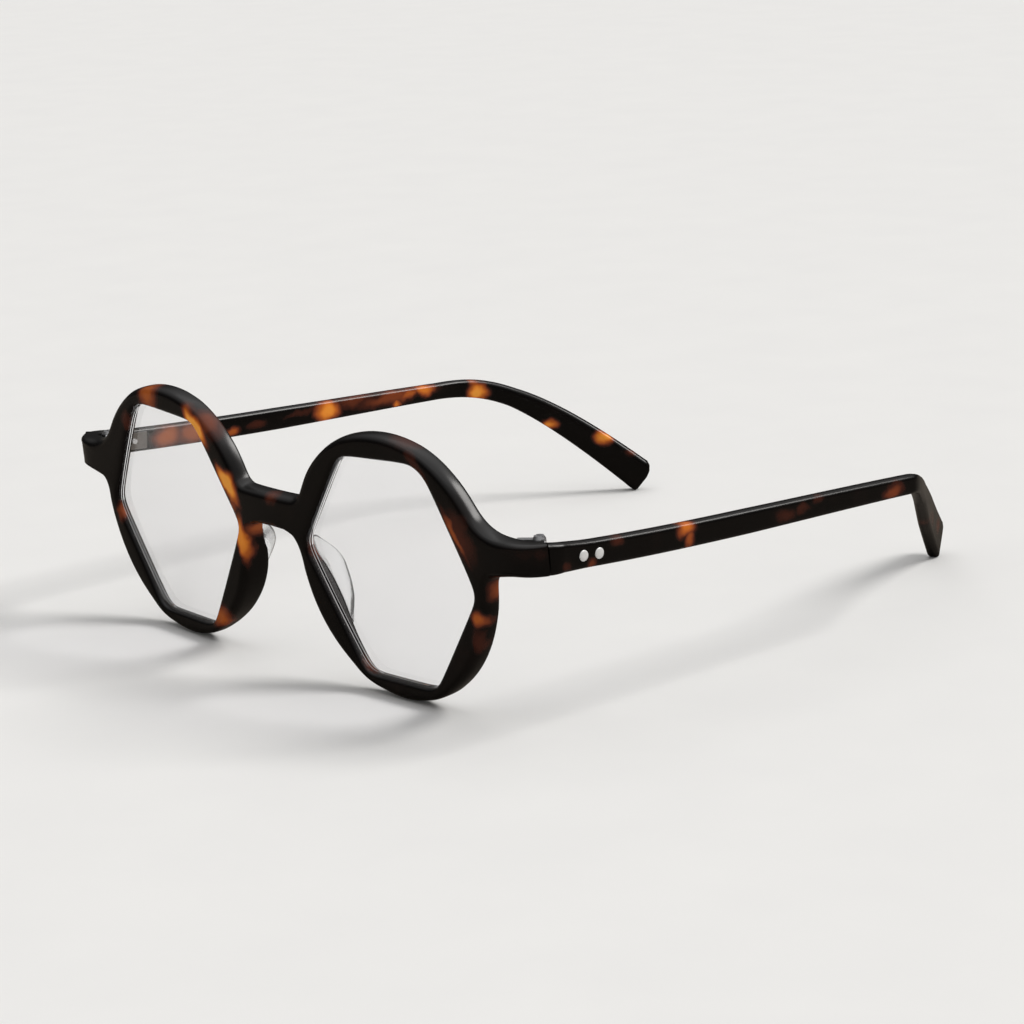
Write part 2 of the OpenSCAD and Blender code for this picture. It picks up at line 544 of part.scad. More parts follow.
module lens_left() { lens(false); }
module lens_right() { lens(true); }
module nose_pad_left() { nose_pad(false); }
module nose_pad_right() { nose_pad(true); }
module front_hinge_left() { front_hinge(false); }
module front_hinge_right() { front_hinge(true); }
module temple_hinge_left() { temple_hinge(false); }
module temple_hinge_right() { temple_hinge(true); }
module hinge_screw_left() { hinge_screw(false); }
module hinge_screw_right() { hinge_screw(true); }
module temple_left() { temple(false); }
module temple_right() { temple(true); }
module core_wire_left() { core_wire(false); }
module core_wire_right() { core_wire(true); }
module rivet_front_left() { rivet(0, false); }
module rivet_front_right() { rivet(0, true); }
module rivet_rear_left() { rivet(1, false); }
module rivet_rear_right() { rivet(1, true); }

front_frame();
lens_left();
lens_right();
nose_pad_left();
nose_pad_right();
front_hinge_left();
front_hinge_right();
temple_hinge_left();
temple_hinge_right();
hinge_screw_left();
hinge_screw_right();
temple_left();
temple_right();
core_wire_left();
core_wire_right();
rivet_front_left();
rivet_front_right();
rivet_rear_left();
rivet_rear_right();
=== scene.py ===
import math

import bpy
import numpy as np
from mathutils import Matrix, Vector


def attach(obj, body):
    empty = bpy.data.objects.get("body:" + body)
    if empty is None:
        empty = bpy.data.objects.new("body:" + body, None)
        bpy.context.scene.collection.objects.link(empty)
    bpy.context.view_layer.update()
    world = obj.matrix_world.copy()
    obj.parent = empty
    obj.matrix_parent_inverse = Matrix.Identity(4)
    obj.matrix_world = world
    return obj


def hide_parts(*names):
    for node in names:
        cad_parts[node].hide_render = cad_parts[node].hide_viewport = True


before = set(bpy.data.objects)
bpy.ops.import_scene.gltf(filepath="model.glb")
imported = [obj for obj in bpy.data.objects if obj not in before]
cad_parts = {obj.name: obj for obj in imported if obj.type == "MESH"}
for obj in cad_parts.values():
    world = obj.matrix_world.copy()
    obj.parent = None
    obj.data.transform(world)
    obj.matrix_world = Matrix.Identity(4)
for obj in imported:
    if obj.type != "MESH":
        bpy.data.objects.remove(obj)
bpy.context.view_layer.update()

# Room and camera: a pale table under soft daylight that comes from the
# right and from behind, seen from above the wearer's left front corner.
PHOTO_WIDTH, FOCAL_PIXELS, SENSOR_WIDTH = 1024.0, 3066.47, 36.0
VIEW_AZIMUTH, VIEW_ELEVATION, VIEW_ROLL = (math.radians(v) for v in (49.19, 14.56, -2.90))
BACK_SHIFT = -0.0705108  # brings a drawing that starts at the lenses to the middle of the box
VIEW_PLACE = (0.46587, -0.34142 + BACK_SHIFT, 0.17871)
TABLE_REACH, TABLE_GAP = 8, 0.00002
ROOM_COLOR, ROOM_STRENGTH = (1.0, 0.985, 0.96, 1), 0.36

back = Vector((math.sin(VIEW_AZIMUTH) * math.cos(VIEW_ELEVATION),
               -math.cos(VIEW_AZIMUTH) * math.cos(VIEW_ELEVATION), math.sin(VIEW_ELEVATION)))
right = Vector((0, 0, 1)).cross(back).normalized()
up = back.cross(right)
rolled_right = math.cos(VIEW_ROLL) * right + math.sin(VIEW_ROLL) * up
rolled_up = -math.sin(VIEW_ROLL) * right + math.cos(VIEW_ROLL) * up
camera = bpy.data.cameras.new("camera")
camera.sensor_width = SENSOR_WIDTH
camera.lens = SENSOR_WIDTH * FOCAL_PIXELS / PHOTO_WIDTH
camera.clip_start, camera.clip_end = 0.01, 30.0
camera_object = bpy.data.objects.new("camera", camera)
bpy.context.scene.collection.objects.link(camera_object)
view_turn = Matrix((rolled_right, rolled_up, back)).transposed().to_4x4()
camera_object.matrix_world = Matrix.Translation(Vector(VIEW_PLACE)) @ view_turn
bpy.context.scene.camera = camera_object
bpy.context.scene.view_settings.view_transform = "Standard"


def node_material(name):
    """A new material with an empty node tree."""
    material = bpy.data.materials.new(name)
    material.use_nodes = True
    tree = material.node_tree
    tree.nodes.clear()
    return material, tree


def add(tree, kind, settings=None, **inputs):
    """A new node. Inputs go by name, with _ for a space, or by place as i0, i1 and so on."""
    node = tree.nodes.new(kind)
    for key, value in (settings or {}).items():
        setattr(node, key, value)
    for key, value in inputs.items():
        by_place = key[0] == "i" and key[1:].isdigit()
        node.inputs[int(key[1:]) if by_place else key.replace("_", " ")].default_value = value
    return node


def link(tree, source, target):
    tree.links.new(source, target)


def noise(tree, scale, detail):
    """Soft noise that is fixed to the piece."""
    coordinates = add(tree, "ShaderNodeTexCoord")
    texture = add(tree, "ShaderNodeTexNoise", Scale=scale, Detail=detail)
    link(tree, coordinates.outputs["Object"], texture.inputs["Vector"])
    return texture.outputs["Fac"]


def toned(tree, factor, *stops):
    """A colour that runs through the given (place, colour) stops."""
    node = add(tree, "ShaderNodeValToRGB")
    elements = node.color_ramp.elements
    for element, (place, color) in zip((elements[0], elements[1]), (stops[0], stops[-1])):
        element.position, element.color = place, color
    for place, color in stops[1:-1]:
        elements.new(place).color = color
    link(tree, factor, node.inputs[0])
    return node.outputs[0]


def mixed(tree, factor, first, second):
    """The first shader where the factor is 0 and the second where it is 1."""
    node = add(tree, "ShaderNodeMixShader")
    for socket, source in zip(node.inputs, (factor, first, second)):
        link(tree, source, socket)
    return node.outputs[0]


def surface(tree, shader):
    link(tree, shader, add(tree, "ShaderNodeOutputMaterial").inputs[0])


def reflected(tree):
    """1 for what is seen in a reflection, 0 for what is seen directly or through glass."""
    path = add(tree, "ShaderNodeLightPath")
    only = add(tree, "ShaderNodeMath", {"operation": "SUBTRACT", "use_clamp": True})
    link(tree, path.outputs["Is Glossy Ray"], only.inputs[0])
    link(tree, path.outputs["Is Transmission Ray"], only.inputs[1])
    return only.outputs[0]


floor_material, tree = node_material("pale_table")
tint = toned(tree, noise(tree, 40.0, 4.0),
             (0.0, (0.80, 0.80, 0.80, 1)), (1.0, (0.84, 0.84, 0.835, 1)))
pale = add(tree, "ShaderNodeBsdfPrincipled", Roughness=0.7, Specular_IOR_Level=0.2)
link(tree, tint, pale.inputs["Base Color"])
dim = add(tree, "ShaderNodeBsdfDiffuse", Color=(0.16, 0.14, 0.12, 1))
surface(tree, mixed(tree, reflected(tree), pale.outputs[0], dim.outputs[0]))
table_corners = [(x * TABLE_REACH, y * TABLE_REACH, 0)
                 for x, y in ((-1, -1), (1, -1), (1, 1), (-1, 1))]
floor_mesh = bpy.data.meshes.new("table")
floor_mesh.from_pydata(table_corners, [], [(0, 1, 2, 3)])
floor_mesh.materials.append(floor_material)
floor_object = bpy.data.objects.new("table", floor_mesh)
floor_object.location = (0, 0, -TABLE_GAP)
bpy.context.scene.collection.objects.link(floor_object)

world = bpy.data.worlds.new("room")
bpy.context.scene.world = world
world.use_nodes = True
tree = world.node_tree
room = tree.nodes["Background"]
room.inputs["Color"].default_value = ROOM_COLOR
room.inputs["Strength"].default_value = ROOM_STRENGTH
wall = add(tree, "ShaderNodeBackground")
coordinates = add(tree, "ShaderNodeTexCoord")
height = add(tree, "ShaderNodeSeparateXYZ")
link(tree, coordinates.outputs["Generated"], height.inputs[0])
shade = add(tree, "ShaderNodeMapRange", {"interpolation_type": "SMOOTHSTEP"},
            From_Min=0.25, From_Max=0.95, To_Min=0.05, To_Max=1.1)
link(tree, height.outputs["Z"], shade.inputs["Value"])
link(tree, shade.outputs[0], wall.inputs["Strength"])
link(tree, mixed(tree, reflected(tree), room.outputs[0], wall.outputs[0]),
     tree.nodes["World Output"].inputs[0])


def sun(name, direction, angle, power, color=(1, 1, 1)):
    """Soft light from one direction, which isn't seen through glass as a disc."""
    data = bpy.data.lights.new(name, "SUN")
    data.angle = math.radians(angle)
    data.energy = power
    data.color = color
    thing = bpy.data.objects.new(name, data)
    thing.rotation_euler = Vector(direction).to_track_quat("Z", "Y").to_euler()
    thing.visible_transmission = False
    bpy.context.scene.collection.objects.link(thing)


sun("window", (0.42, 0.66, 0.80), angle=24, power=1.9, color=(1.0, 0.98, 0.95))
sun("sky", (-0.10, 0.12, 1.0), angle=70, power=0.75)

# Front: one sheet of polished tortoiseshell acetate, milled to two round
# rims with six-sided openings, a plain bridge and two end pieces, its edges
# tumbled soft and a V groove cut inside for each lens.
MM = 0.001
LENS_WIDTH, LENS_HEIGHT, LENS_SPACING = 45.4, 43.8, 68.0
FRONT_THICKNESS, RIM_WIDTH, EDGE_RADIUS, FRONT_EDGE = 4.0, 4.2, 0.6, 1.4
FRONT_TILT, FRONT_WRAP = math.radians(3.56), math.radians(3.13)
BRIDGE_TOP, BRIDGE_BOTTOM, BRIDGE_RUN = 10.1, 3.1, 6.0
NOSE_FLARE, INNER_FLARE, INNER_FLARE_END, OUTER_FLARE_END = 2.2, 0.45, 228, 242
END_HEIGHT, END_LEVEL, END_RADIUS, END_REACH, END_NOTCH = 6.1, 7.0, 8.0, 9.6, 1.05
JOINT_ANGLE, JOINT_GAP = math.radians(65), 0.2
LIP, GROOVE_DEPTH, GROOVE_MIDDLE, GROOVE_HALF = 0.5, 0.9, 2.1, 0.85

bridge_bend = BRIDGE_RUN / FRONT_WRAP
bend_x, bend_y = bridge_bend * math.sin(FRONT_WRAP), bridge_bend * (1 - math.cos(FRONT_WRAP))
centre_s = BRIDGE_RUN + (LENS_SPACING / 2 - bend_x) / math.cos(FRONT_WRAP)
corner_u = LENS_WIDTH / 2 + END_REACH
corner_s = centre_s + corner_u
end_u = corner_u + END_RADIUS * (JOINT_ANGLE - FRONT_WRAP)
line_y = bend_y + (centre_s - BRIDGE_RUN) * math.sin(FRONT_WRAP)
corner_start = np.array([bend_x + (corner_s - BRIDGE_RUN) * math.cos(FRONT_WRAP),
                         bend_y + (corner_s - BRIDGE_RUN) * math.sin(FRONT_WRAP) - line_y])
corner_centre = corner_start + END_RADIUS * np.array([-math.sin(FRONT_WRAP), math.cos(FRONT_WRAP)])


def wrap_point(u, v, d):
    """Wraps a point of the flat drawing, at depth d, round the plan curve of the front."""
    s = max(0.0, centre_s + u)
    if s < BRIDGE_RUN:
        a = FRONT_WRAP * s / BRIDGE_RUN
        c = (bridge_bend * math.sin(a), bridge_bend * (1 - math.cos(a)) - line_y)
    elif s < corner_s:
        a = FRONT_WRAP
        c = (bend_x + (s - BRIDGE_RUN) * math.cos(a),
             bend_y + (s - BRIDGE_RUN) * math.sin(a) - line_y)
    else:
        a = FRONT_WRAP + (s - corner_s) / END_RADIUS
        c = (corner_centre[0] + END_RADIUS * math.sin(a),
             corner_centre[1] - END_RADIUS * math.cos(a))
    return np.array([0.0 if s == 0 else c[0] - d * math.sin(a), c[1] + d * math.cos(a), v])


# corners of the opening as shares of half its width and height
LENS_CORNERS = np.array([[-0.485, 0.95], [0.51, 1.0], [1.035, -0.06],
                         [0.436, -1.01], [-0.418, -1.01], [-1.053, 0.07]])
CORNER_POWER, OUTER_CORNER_POWER, OUTER_CORNER_SPREAD = 23.0, 12.0, 18
lens_corners = LENS_CORNERS * [LENS_WIDTH / 2, LENS_HEIGHT / 2]
lens_sides = []
for i in range(6):
    a, b = lens_corners[i], lens_corners[(i + 1) % 6]
    t = (b - a) / np.linalg.norm(b - a)
    n = np.array([-t[1], t[0]])
    lens_sides.append((n if n @ a > 0 else -n, abs(n @ a)))
outer_corner = math.degrees(math.atan2(lens_corners[1][1], lens_corners[1][0]))


def radial(a):
    return np.array([math.cos(math.radians(a)), math.sin(math.radians(a))])


def lens_radius(a):
    """Radius of the opening: six sides with soft corners, softest at the upper outer one."""
    d = radial(a)
    off = (a - outer_corner + 180) % 360 - 180
    softer = math.exp(-(off / OUTER_CORNER_SPREAD) ** 2)
    w = CORNER_POWER + (OUTER_CORNER_POWER - CORNER_POWER) * softer
    return 1 / sum(max(0.0, d @ n / s) ** w for n, s in lens_sides) ** (1 / w)


# how far the rim stands off a true circle, in mm, every 30 degrees
RIM_OFFSETS = [0.1, 0.75, 0.5, 0, 0.35, 0.6, -0.6, -0.95, -0.8, -0.15, -0.2, -0.3]
rim_radius = LENS_HEIGHT / 2 + RIM_WIDTH


def rim_offset(angle):
    q = (angle % 360) / 30
    i = int(q)
    t = q - i
    a, b, c, d = (RIM_OFFSETS[(i + k) % 12] for k in (-1, 0, 1, 2))
    return (b + t * (c - a) / 2 + t * t * (a - 2.5 * b + 2 * c - d / 2)
            + t ** 3 * (1.5 * b - 1.5 * c + (d - a) / 2))


def rim_point(a):
    return (rim_radius + rim_offset(a)) * radial(a)


def flat(x, y):
    """A point of the flat drawing, with the lens centre at 0, 0."""
    return np.array([x, y], float)


def fillet(a, b, c, n, first):
    """Places and outward sides along a curve from a to c that is drawn towards b."""
    out = []
    for i in range(first, n + 1):
        t = i / n
        p = (1 - t) ** 2 * a + 2 * t * (1 - t) * b + t * t * c
        d = (1 - t) * (b - a) + t * (c - b)
        d = d / np.linalg.norm(d)
        out.append((p, np.array([d[1], -d[0]])))
    return out


def run(a, b, n, side):
    """Places along a straight line, all with one outward side."""
    return [(a + (b - a) * i / n, np.array(side, float)) for i in range(1, n + 1)]


def spread(path, a0, a1):
    """Stations of a path: place, outward side, lens angle, and if it is on the mirror plane."""
    return [(p, n, a0 + (a1 - a0) * (i + 0.5) / len(path), p[0] < 0.01 - centre_s)
            for i, (p, n) in enumerate(path)]


# the bridge and the end piece leave the rim at these angles, and small offsets
# in mm draw their curves from the rim into the straight parts
BRIDGE_FROM, BRIDGE_TO, END_FROM, END_TO = 152, 189, 359, 394
bridge_a, bridge_b, mid_u = rim_point(BRIDGE_FROM), rim_point(BRIDGE_TO), -centre_s
shoulder, saddle = flat(bridge_a[0] - 3.2, BRIDGE_TOP), flat(mid_u + 5, BRIDGE_BOTTOM - 0.2)
mid_top, mid_bottom = flat(mid_u, BRIDGE_TOP), flat(mid_u, BRIDGE_BOTTOM)
bridge_path = (fillet(bridge_a, flat(bridge_a[0] - 0.8, BRIDGE_TOP + 0.1), shoulder, 5, 1)
               + run(shoulder, mid_top, 2, (0, 1))
               + run(mid_top, mid_bottom, 3, (0, 0))[:-1]
               + [(mid_bottom, flat(0, -1))]
               + run(mid_bottom, saddle, 2, (0, -1))
               + fillet(saddle, flat(bridge_b[0] - 0.6, BRIDGE_BOTTOM - 0.7), bridge_b, 5, 1))
end_top, end_bottom = END_LEVEL + END_HEIGHT / 2, END_LEVEL - END_HEIGHT / 2
notch = end_bottom - END_NOTCH
end_a, end_b = rim_point(END_TO), rim_point(END_FROM)
notch_end, underside = flat(end_b[0] + 2.2, notch), flat(corner_u + 1, end_bottom - 0.1)
tip_bottom, tip_top = flat(end_u, end_bottom), flat(end_u, end_top)
end_face = run(tip_bottom, tip_top, 4, (0, 0))
end_path = (fillet(end_b, flat(end_b[0] + 0.1, notch), notch_end, 5, 0)
            + run(notch_end, underside, 2, (0, -1))
            + run(underside, tip_bottom, 3, (0, -1))
            + end_face[:2] + end_face[3:]
            + [(tip_top, flat(0, 1))]
            + run(tip_top, flat(corner_u, end_top + 0.3), 4, (0, 1))
            + fillet(flat(corner_u - 1, end_top + 0.35), flat(end_a[0] + 3, end_top + 0.4),
                     end_a, 6, 0))
NEAR_CORNER = (-8, -5, -2.5, 0, 2.5, 5, 8)
NEAR = NEAR_CORNER[-1]
corner = [math.degrees(math.atan2(p[1], p[0])) % 360 for p in lens_corners]


def steps(a, b, n, inner=False):
    """Angles from a towards b, without b, and without a where inner."""
    return [a + (b - a) * i / n for i in range(1 if inner else 0, n)]


def turned_on(angles):
    return [a + 360 for a in angles]


def near(i):
    """Close angles round corner i of the opening."""
    return [corner[i] + o for o in NEAR_CORNER]


upper = (steps(END_TO, corner[1] + (360 - NEAR), 3) + turned_on(near(1))
         + turned_on(steps(corner[1] + NEAR, corner[0] - NEAR, 5, True)) + turned_on(near(0))
         + turned_on(steps(corner[0] + NEAR, BRIDGE_FROM, 4, True)))
lower = (steps(BRIDGE_TO, corner[4] - NEAR, 6) + near(4)
         + steps(corner[4] + NEAR, corner[3] - NEAR, 4, True) + near(3)
         + steps(corner[3] + NEAR, corner[2] - NEAR, 5, True) + near(2)[:4])
stations = ([(rim_point(a), radial(a), a - 360, False) for a in upper]
            + spread(bridge_path, BRIDGE_FROM, BRIDGE_TO)
            + [(rim_point(a), radial(a), a, False) for a in lower]
            + spread(end_path, END_FROM - 1, END_TO))
FLARE_ANGLES, FLARE_FADE = [181, 185, 190, 195, 210], 10
FLARE_SHARES = [0, 0.35, 0.9, 1, 1, 0.5, 0]


def flare(a, last):
    """How much of the nasal flare there is at an angle."""
    return float(np.interp(a, FLARE_ANGLES + [last - FLARE_FADE, last], FLARE_SHARES))


def rear_depths(a):
    """Depth of the rear face at the opening and at the outer edge."""
    return (FRONT_THICKNESS + INNER_FLARE * NOSE_FLARE * flare(a, INNER_FLARE_END),
            FRONT_THICKNESS + NOSE_FLARE * flare(a, OUTER_FLARE_END))


# how the front edge rounds off: at most this share of the rim's width, this
# much of it left at the end pieces, its depth, and the sag of its two arcs
EDGE_LIMIT, END_EDGE, EDGE_DEPTH, FRONT_ARC, REAR_ARC = 0.4, 0.45, 1.35, 0.134, 0.3
FACE_STEPS = (0.45, 0.66, 0.83)
SECTION, EDGE_FIRST, EDGE_LAST, GROOVE_ROWS = 20, 4, 10, (15, 16, 17, 18)


def front_section(station):
    """One cross section: front face, outer edge, rear face, then the opening with its groove."""
    o, n, angle, _ = station
    m = radial(angle)
    q = lens_radius(angle) * m
    e = (min(FRONT_EDGE, EDGE_LIMIT * np.linalg.norm(o - q))
         * float(np.interp(o[0], [corner_u - 2, end_u], [1, END_EDGE])))
    g, r = EDGE_DEPTH * e, EDGE_RADIUS
    a, b, c = q + LIP * m, o - e * n, o - r * n
    ti, to = rear_depths(angle)
    face = [(a, 0)] + [(a + (b - a) * f, 0) for f in FACE_STEPS]
    edge = [(b, 0), (o - 0.5 * e * n, FRONT_ARC * g), (o - FRONT_ARC * e * n, 0.5 * g), (o, g),
            (o, to - r), (o - REAR_ARC * r * n, to - REAR_ARC * r), (c, to)]
    rear = [(a + (c - a) * f, ti + (to - ti) * f) for f in FACE_STEPS[::-1]]
    hole = [(a, ti), (q, ti - LIP), (q, GROOVE_MIDDLE + GROOVE_HALF),
            (q + GROOVE_DEPTH * m, GROOVE_MIDDLE), (q, GROOVE_MIDDLE - GROOVE_HALF), (q, LIP)]
    return [wrap_point(p[0], p[1], d) for p, d in face + edge + rear + hole]


def tilt(points):
    """Leans the top of the front forward."""
    c, s = math.cos(FRONT_TILT), math.sin(FRONT_TILT)
    x, y, z = np.moveaxis(np.asarray(points, float), -1, 0)
    return np.stack([x, y * c - z * s, y * s + z * c], -1)


half = np.array([front_section(s) for s in stations])
centre_z = -tilt(half)[..., 2].min()


def front_world(points):
    """Puts points of the front in their place, in mm, with the rims on the table."""
    return tilt(points) + [0, BACK_SHIFT / MM, centre_z]


def mirrored(points):
    return np.asarray(points) * [-1, 1, 1]


def settle(thing, material, body, nodes, sharp=35):
    """Turns the modifiers into one plain mesh, shades it with its material, puts it in its body and
    hides the frame's nodes it stands for.
    """
    if thing.modifiers:
        bpy.context.view_layer.update()
        evaluated = thing.evaluated_get(bpy.context.evaluated_depsgraph_get())
        done = bpy.data.meshes.new_from_object(evaluated)
        thing.modifiers.clear()
        thing.data = done
    thing.data.shade_smooth()
    thing.data.set_sharp_from_angle(angle=math.radians(sharp))
    thing.data.materials.clear()
    thing.data.materials.append(material)
    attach(thing, body)
    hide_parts(*nodes)
    return thing


def piece(name, points, faces, material, body, node, level=0, creases=(), sharp=35):
    """A closed mesh from points in mm, smoothed where a level is given, and settled."""
    mesh = bpy.data.meshes.new(name)
    mesh.from_pydata([tuple(v) for v in np.asarray(points) * MM], [],
                     [tuple(int(i) for i in f) for f in faces])
    mesh.validate()
    if creases:
        weights = {tuple(sorted(edge)): weight for edge, weight in creases}
        layer = mesh.attributes.new("crease_edge", "FLOAT", "EDGE")
        for edge in mesh.edges:
            layer.data[edge.index].value = weights.get(tuple(sorted(edge.vertices)), 0.0)
    thing = bpy.data.objects.new(name, mesh)
    bpy.context.scene.collection.objects.link(thing)
    if level:
        modifier = thing.modifiers.new("smooth", "SUBSURF")
        modifier.levels = modifier.render_levels = level
    return settle(thing, material, body, (node,), sharp)


# near black, through wine red and brown, to clear amber
ACETATE_COLORS = ((0.0, (0.0025, 0.0018, 0.0015, 1)), (0.15, (0.005, 0.0028, 0.0022, 1)),
                  (0.34, (0.055, 0.012, 0.006, 1)), (0.52, (0.22, 0.045, 0.012, 1)),
                  (0.72, (0.50, 0.115, 0.013, 1)), (0.88, (0.82, 0.25, 0.024, 1)),
                  (1.0, (0.95, 0.38, 0.045, 1)))
acetate = bpy.data.node_groups.new("acetate_finish", "ShaderNodeTree")
for label, way, kind in (("Vector", "INPUT", "Vector"), ("Amount", "INPUT", "Float"),
                         ("Color", "OUTPUT", "Color"), ("Roughness", "OUTPUT", "Float"),
                         ("Height", "OUTPUT", "Float")):
    acetate.interface.new_socket(label, in_out=way, socket_type="NodeSocket" + kind)
entry, leave = add(acetate, "NodeGroupInput"), add(acetate, "NodeGroupOutput")
clouds = add(acetate, "ShaderNodeTexNoise", Scale=95.0, Detail=3.0, Roughness=0.55)
link(acetate, entry.outputs["Vector"], clouds.inputs["Vector"])
drift = add(acetate, "ShaderNodeMapRange", From_Min=0.56, From_Max=0.80, To_Min=0.0, To_Max=0.26)
link(acetate, clouds.outputs["Fac"], drift.inputs["Value"])
total = add(acetate, "ShaderNodeMath", {"operation": "MAXIMUM"})
link(acetate, entry.outputs["Amount"], total.inputs[0])
link(acetate, drift.outputs[0], total.inputs[1])
grain = add(acetate, "ShaderNodeTexNoise", Scale=420.0, Detail=4.0)
link(acetate, entry.outputs["Vector"], grain.inputs["Vector"])
polish = add(acetate, "ShaderNodeMapRange", To_Min=0.19, To_Max=0.29)
link(acetate, grain.outputs["Fac"], polish.inputs["Value"])
link(acetate, toned(acetate, total.outputs[0], *ACETATE_COLORS), leave.inputs["Color"])
link(acetate, polish.outputs[0], leave.inputs["Roughness"])
link(acetate, grain.outputs["Fac"], leave.inputs["Height"])

# a spot is full up to its core and gone at its reach, in shares of its radii;
# its outline is warped by noise of this scale, by this many metres
SPOT_CORE, SPOT_REACH, WARP_SCALE, WARP = 0.2, 1.75, 260.0, 0.0026


def tortoise(name, spots):
    """Dark acetate with amber spots: centre and radii in mm, turn seen from the front, strength."""
    material, tree = node_material(name)
    coordinates = add(tree, "ShaderNodeTexCoord")
    bend = add(tree, "ShaderNodeTexNoise", Scale=WARP_SCALE, Detail=2.0)
    link(tree, coordinates.outputs["Object"], bend.inputs["Vector"])
    centred = add(tree, "ShaderNodeVectorMath", {"operation": "SUBTRACT"}, i1=(0.5, 0.5, 0.5))
    link(tree, bend.outputs["Color"], centred.inputs[0])
    scaled = add(tree, "ShaderNodeVectorMath", {"operation": "SCALE"}, Scale=WARP)
    link(tree, centred.outputs[0], scaled.inputs[0])
    moved = add(tree, "ShaderNodeVectorMath", {"operation": "ADD"})
    link(tree, coordinates.outputs["Object"], moved.inputs[0])
    link(tree, scaled.outputs[0], moved.inputs[1])
    amount = None
    for centre, radii, turn, strength in spots:
        local = add(tree, "ShaderNodeMapping", {"vector_type": "TEXTURE"},
                    Location=[v * MM for v in centre], Rotation=(0, -math.radians(turn), 0),
                    Scale=[v * MM for v in radii])
        link(tree, moved.outputs[0], local.inputs["Vector"])
        distance = add(tree, "ShaderNodeVectorMath", {"operation": "LENGTH"})
        link(tree, local.outputs[0], distance.inputs[0])
        mark = add(tree, "ShaderNodeMapRange", {"interpolation_type": "SMOOTHSTEP"},
                   From_Min=SPOT_CORE, From_Max=SPOT_REACH, To_Min=strength, To_Max=0.0)
        link(tree, distance.outputs["Value"], mark.inputs["Value"])
        if amount is None:
            amount = mark.outputs[0]
            continue
        larger = add(tree, "ShaderNodeMath", {"operation": "MAXIMUM"})
        link(tree, amount, larger.inputs[0])
        link(tree, mark.outputs[0], larger.inputs[1])
        amount = larger.outputs[0]
    finish = add(tree, "ShaderNodeGroup", {"node_tree": acetate})
    link(tree, coordinates.outputs["Object"], finish.inputs["Vector"])
    link(tree, amount, finish.inputs["Amount"])
    bump = add(tree, "ShaderNodeBump", Strength=0.012, Distance=0.0002)
    link(tree, finish.outputs["Height"], bump.inputs["Height"])
    shader = add(tree, "ShaderNodeBsdfPrincipled", IOR=1.49, Specular_IOR_Level=0.28)
    link(tree, finish.outputs["Color"], shader.inputs["Base Color"])
    link(tree, finish.outputs["Roughness"], shader.inputs["Roughness"])
    link(tree, bump.outputs[0], shader.inputs["Normal"])
    surface(tree, shader.outputs[0])
    return material


FRONT_SPOTS = [
    ((40.1, -69.1, 51.4), (5.0, 3.0, 2.5), 0, 0.30),
    ((45.3, -71.2, 47.3), (5.0, 3.0, 1.4), -45, 0.30),
    ((55.0, -70.0, 35.5), (6.0, 4.0, 3.4), -60, 0.35),
    ((54.0, -70.6, 35.4), (6.0, 3.0, 0.9), -58, 0.58),
    ((57.5, -68.9, 20.4), (1.8, 3.5, 1.8), 0, 0.66),
    ((56.9, -68.5, 15.5), (1.6, 3.5, 3.6), 0, 0.32),
    ((60.0, -65.7, 26.1), (1.3, 3.0, 2.6), 0, 0.50),
    ((10.8, -68.5, 26.0), (1.6, 2.6, 3.6), 0, 0.45),
    ((23.5, -67.2, 5.1), (5.0, 2.0, 1.5), -30, 0.42),
    ((-38.6, -71.7, 50.5), (3.6, 4.0, 4.2), 0, 0.66),
    ((-48.5, -70.7, 42.8), (1.6, 3.0, 3.0), 0, 0.34),
    ((-55.8, -67.9, 22.2), (1.4, 2.4, 2.8), 0, 0.54),
    ((-21.8, -72.5, 45.8), (4.6, 3.0, 2.1), -44, 1.15),
    ((-18.6, -71.5, 47.0), (4.6, 3.0, 2.8), -40, 0.44),
    ((-12.4, -72.3, 35.8), (4.4, 3.0, 1.9), -50, 1.10),
    ((-11.0, -72.2, 32.4), (1.6, 3.0, 3.2), 0, 0.52),
    ((-9.7, -71.7, 24.6), (1.5, 3.0, 5.6), 0, 0.90),
    ((-7.4, -69.3, 27.2), (3.0, 3.0, 2.2), 0, 0.60),
    ((-21.2, -70.0, 6.2), (3.4, 3.0, 2.6), 20, 0.66),
    ((2.0, -72.1, 35.4), (2.2, 2.4, 1.8), 0, 0.38),
    ((72.2, -65.8, 34.4), (2.0, 2.5, 1.6), 0, 0.19),
    ((70.0, -67.5, 34.6), (4.0, 4.0, 1.4), 0, 0.17)]
GROOVE_CREASE, CAP_CREASE = 0.75, 0.9
left_half = front_world(half.reshape(-1, 3))
count, half_size = len(stations), len(left_half)


def front_index(side, k, j):
    """Point j of station k; the halves share their outer edge on the mirror plane."""
    k, j = k % count, j % SECTION
    shared = stations[k][3] and EDGE_FIRST <= j <= EDGE_LAST
    return k * SECTION + j + (half_size if side and not shared else 0)


faces, creases = [], []
cap = [k for k, (place, outward, _, _) in enumerate(stations)
       if abs(place[0] - end_u) < 1e-6 and not np.any(outward)]
cap_rims = (cap[0] - 1, cap[0], cap[-1], cap[-1] + 1)
for side in (0, 1):
    for k in range(count):
        for j in range(SECTION):
            on_edge = EDGE_FIRST <= j < EDGE_LAST
            if on_edge and stations[k][3] and stations[(k + 1) % count][3]:
                continue
            quad = [front_index(side, *place)
                    for place in ((k, j), (k + 1, j), (k + 1, j + 1), (k, j + 1))]
            faces.append(quad[::-1] if side == 0 else quad)
            if j in GROOVE_ROWS:
                creases.append(((quad[0], quad[1]), GROOVE_CREASE))
            if on_edge and k in cap_rims:
                creases.append(((quad[0], quad[3]), CAP_CREASE))
piece("front", np.concatenate([left_half, mirrored(left_half)]), faces,
      tortoise("tortoise_front", FRONT_SPOTS), "front", "front_frame",
      level=2, creases=creases, sharp=70)

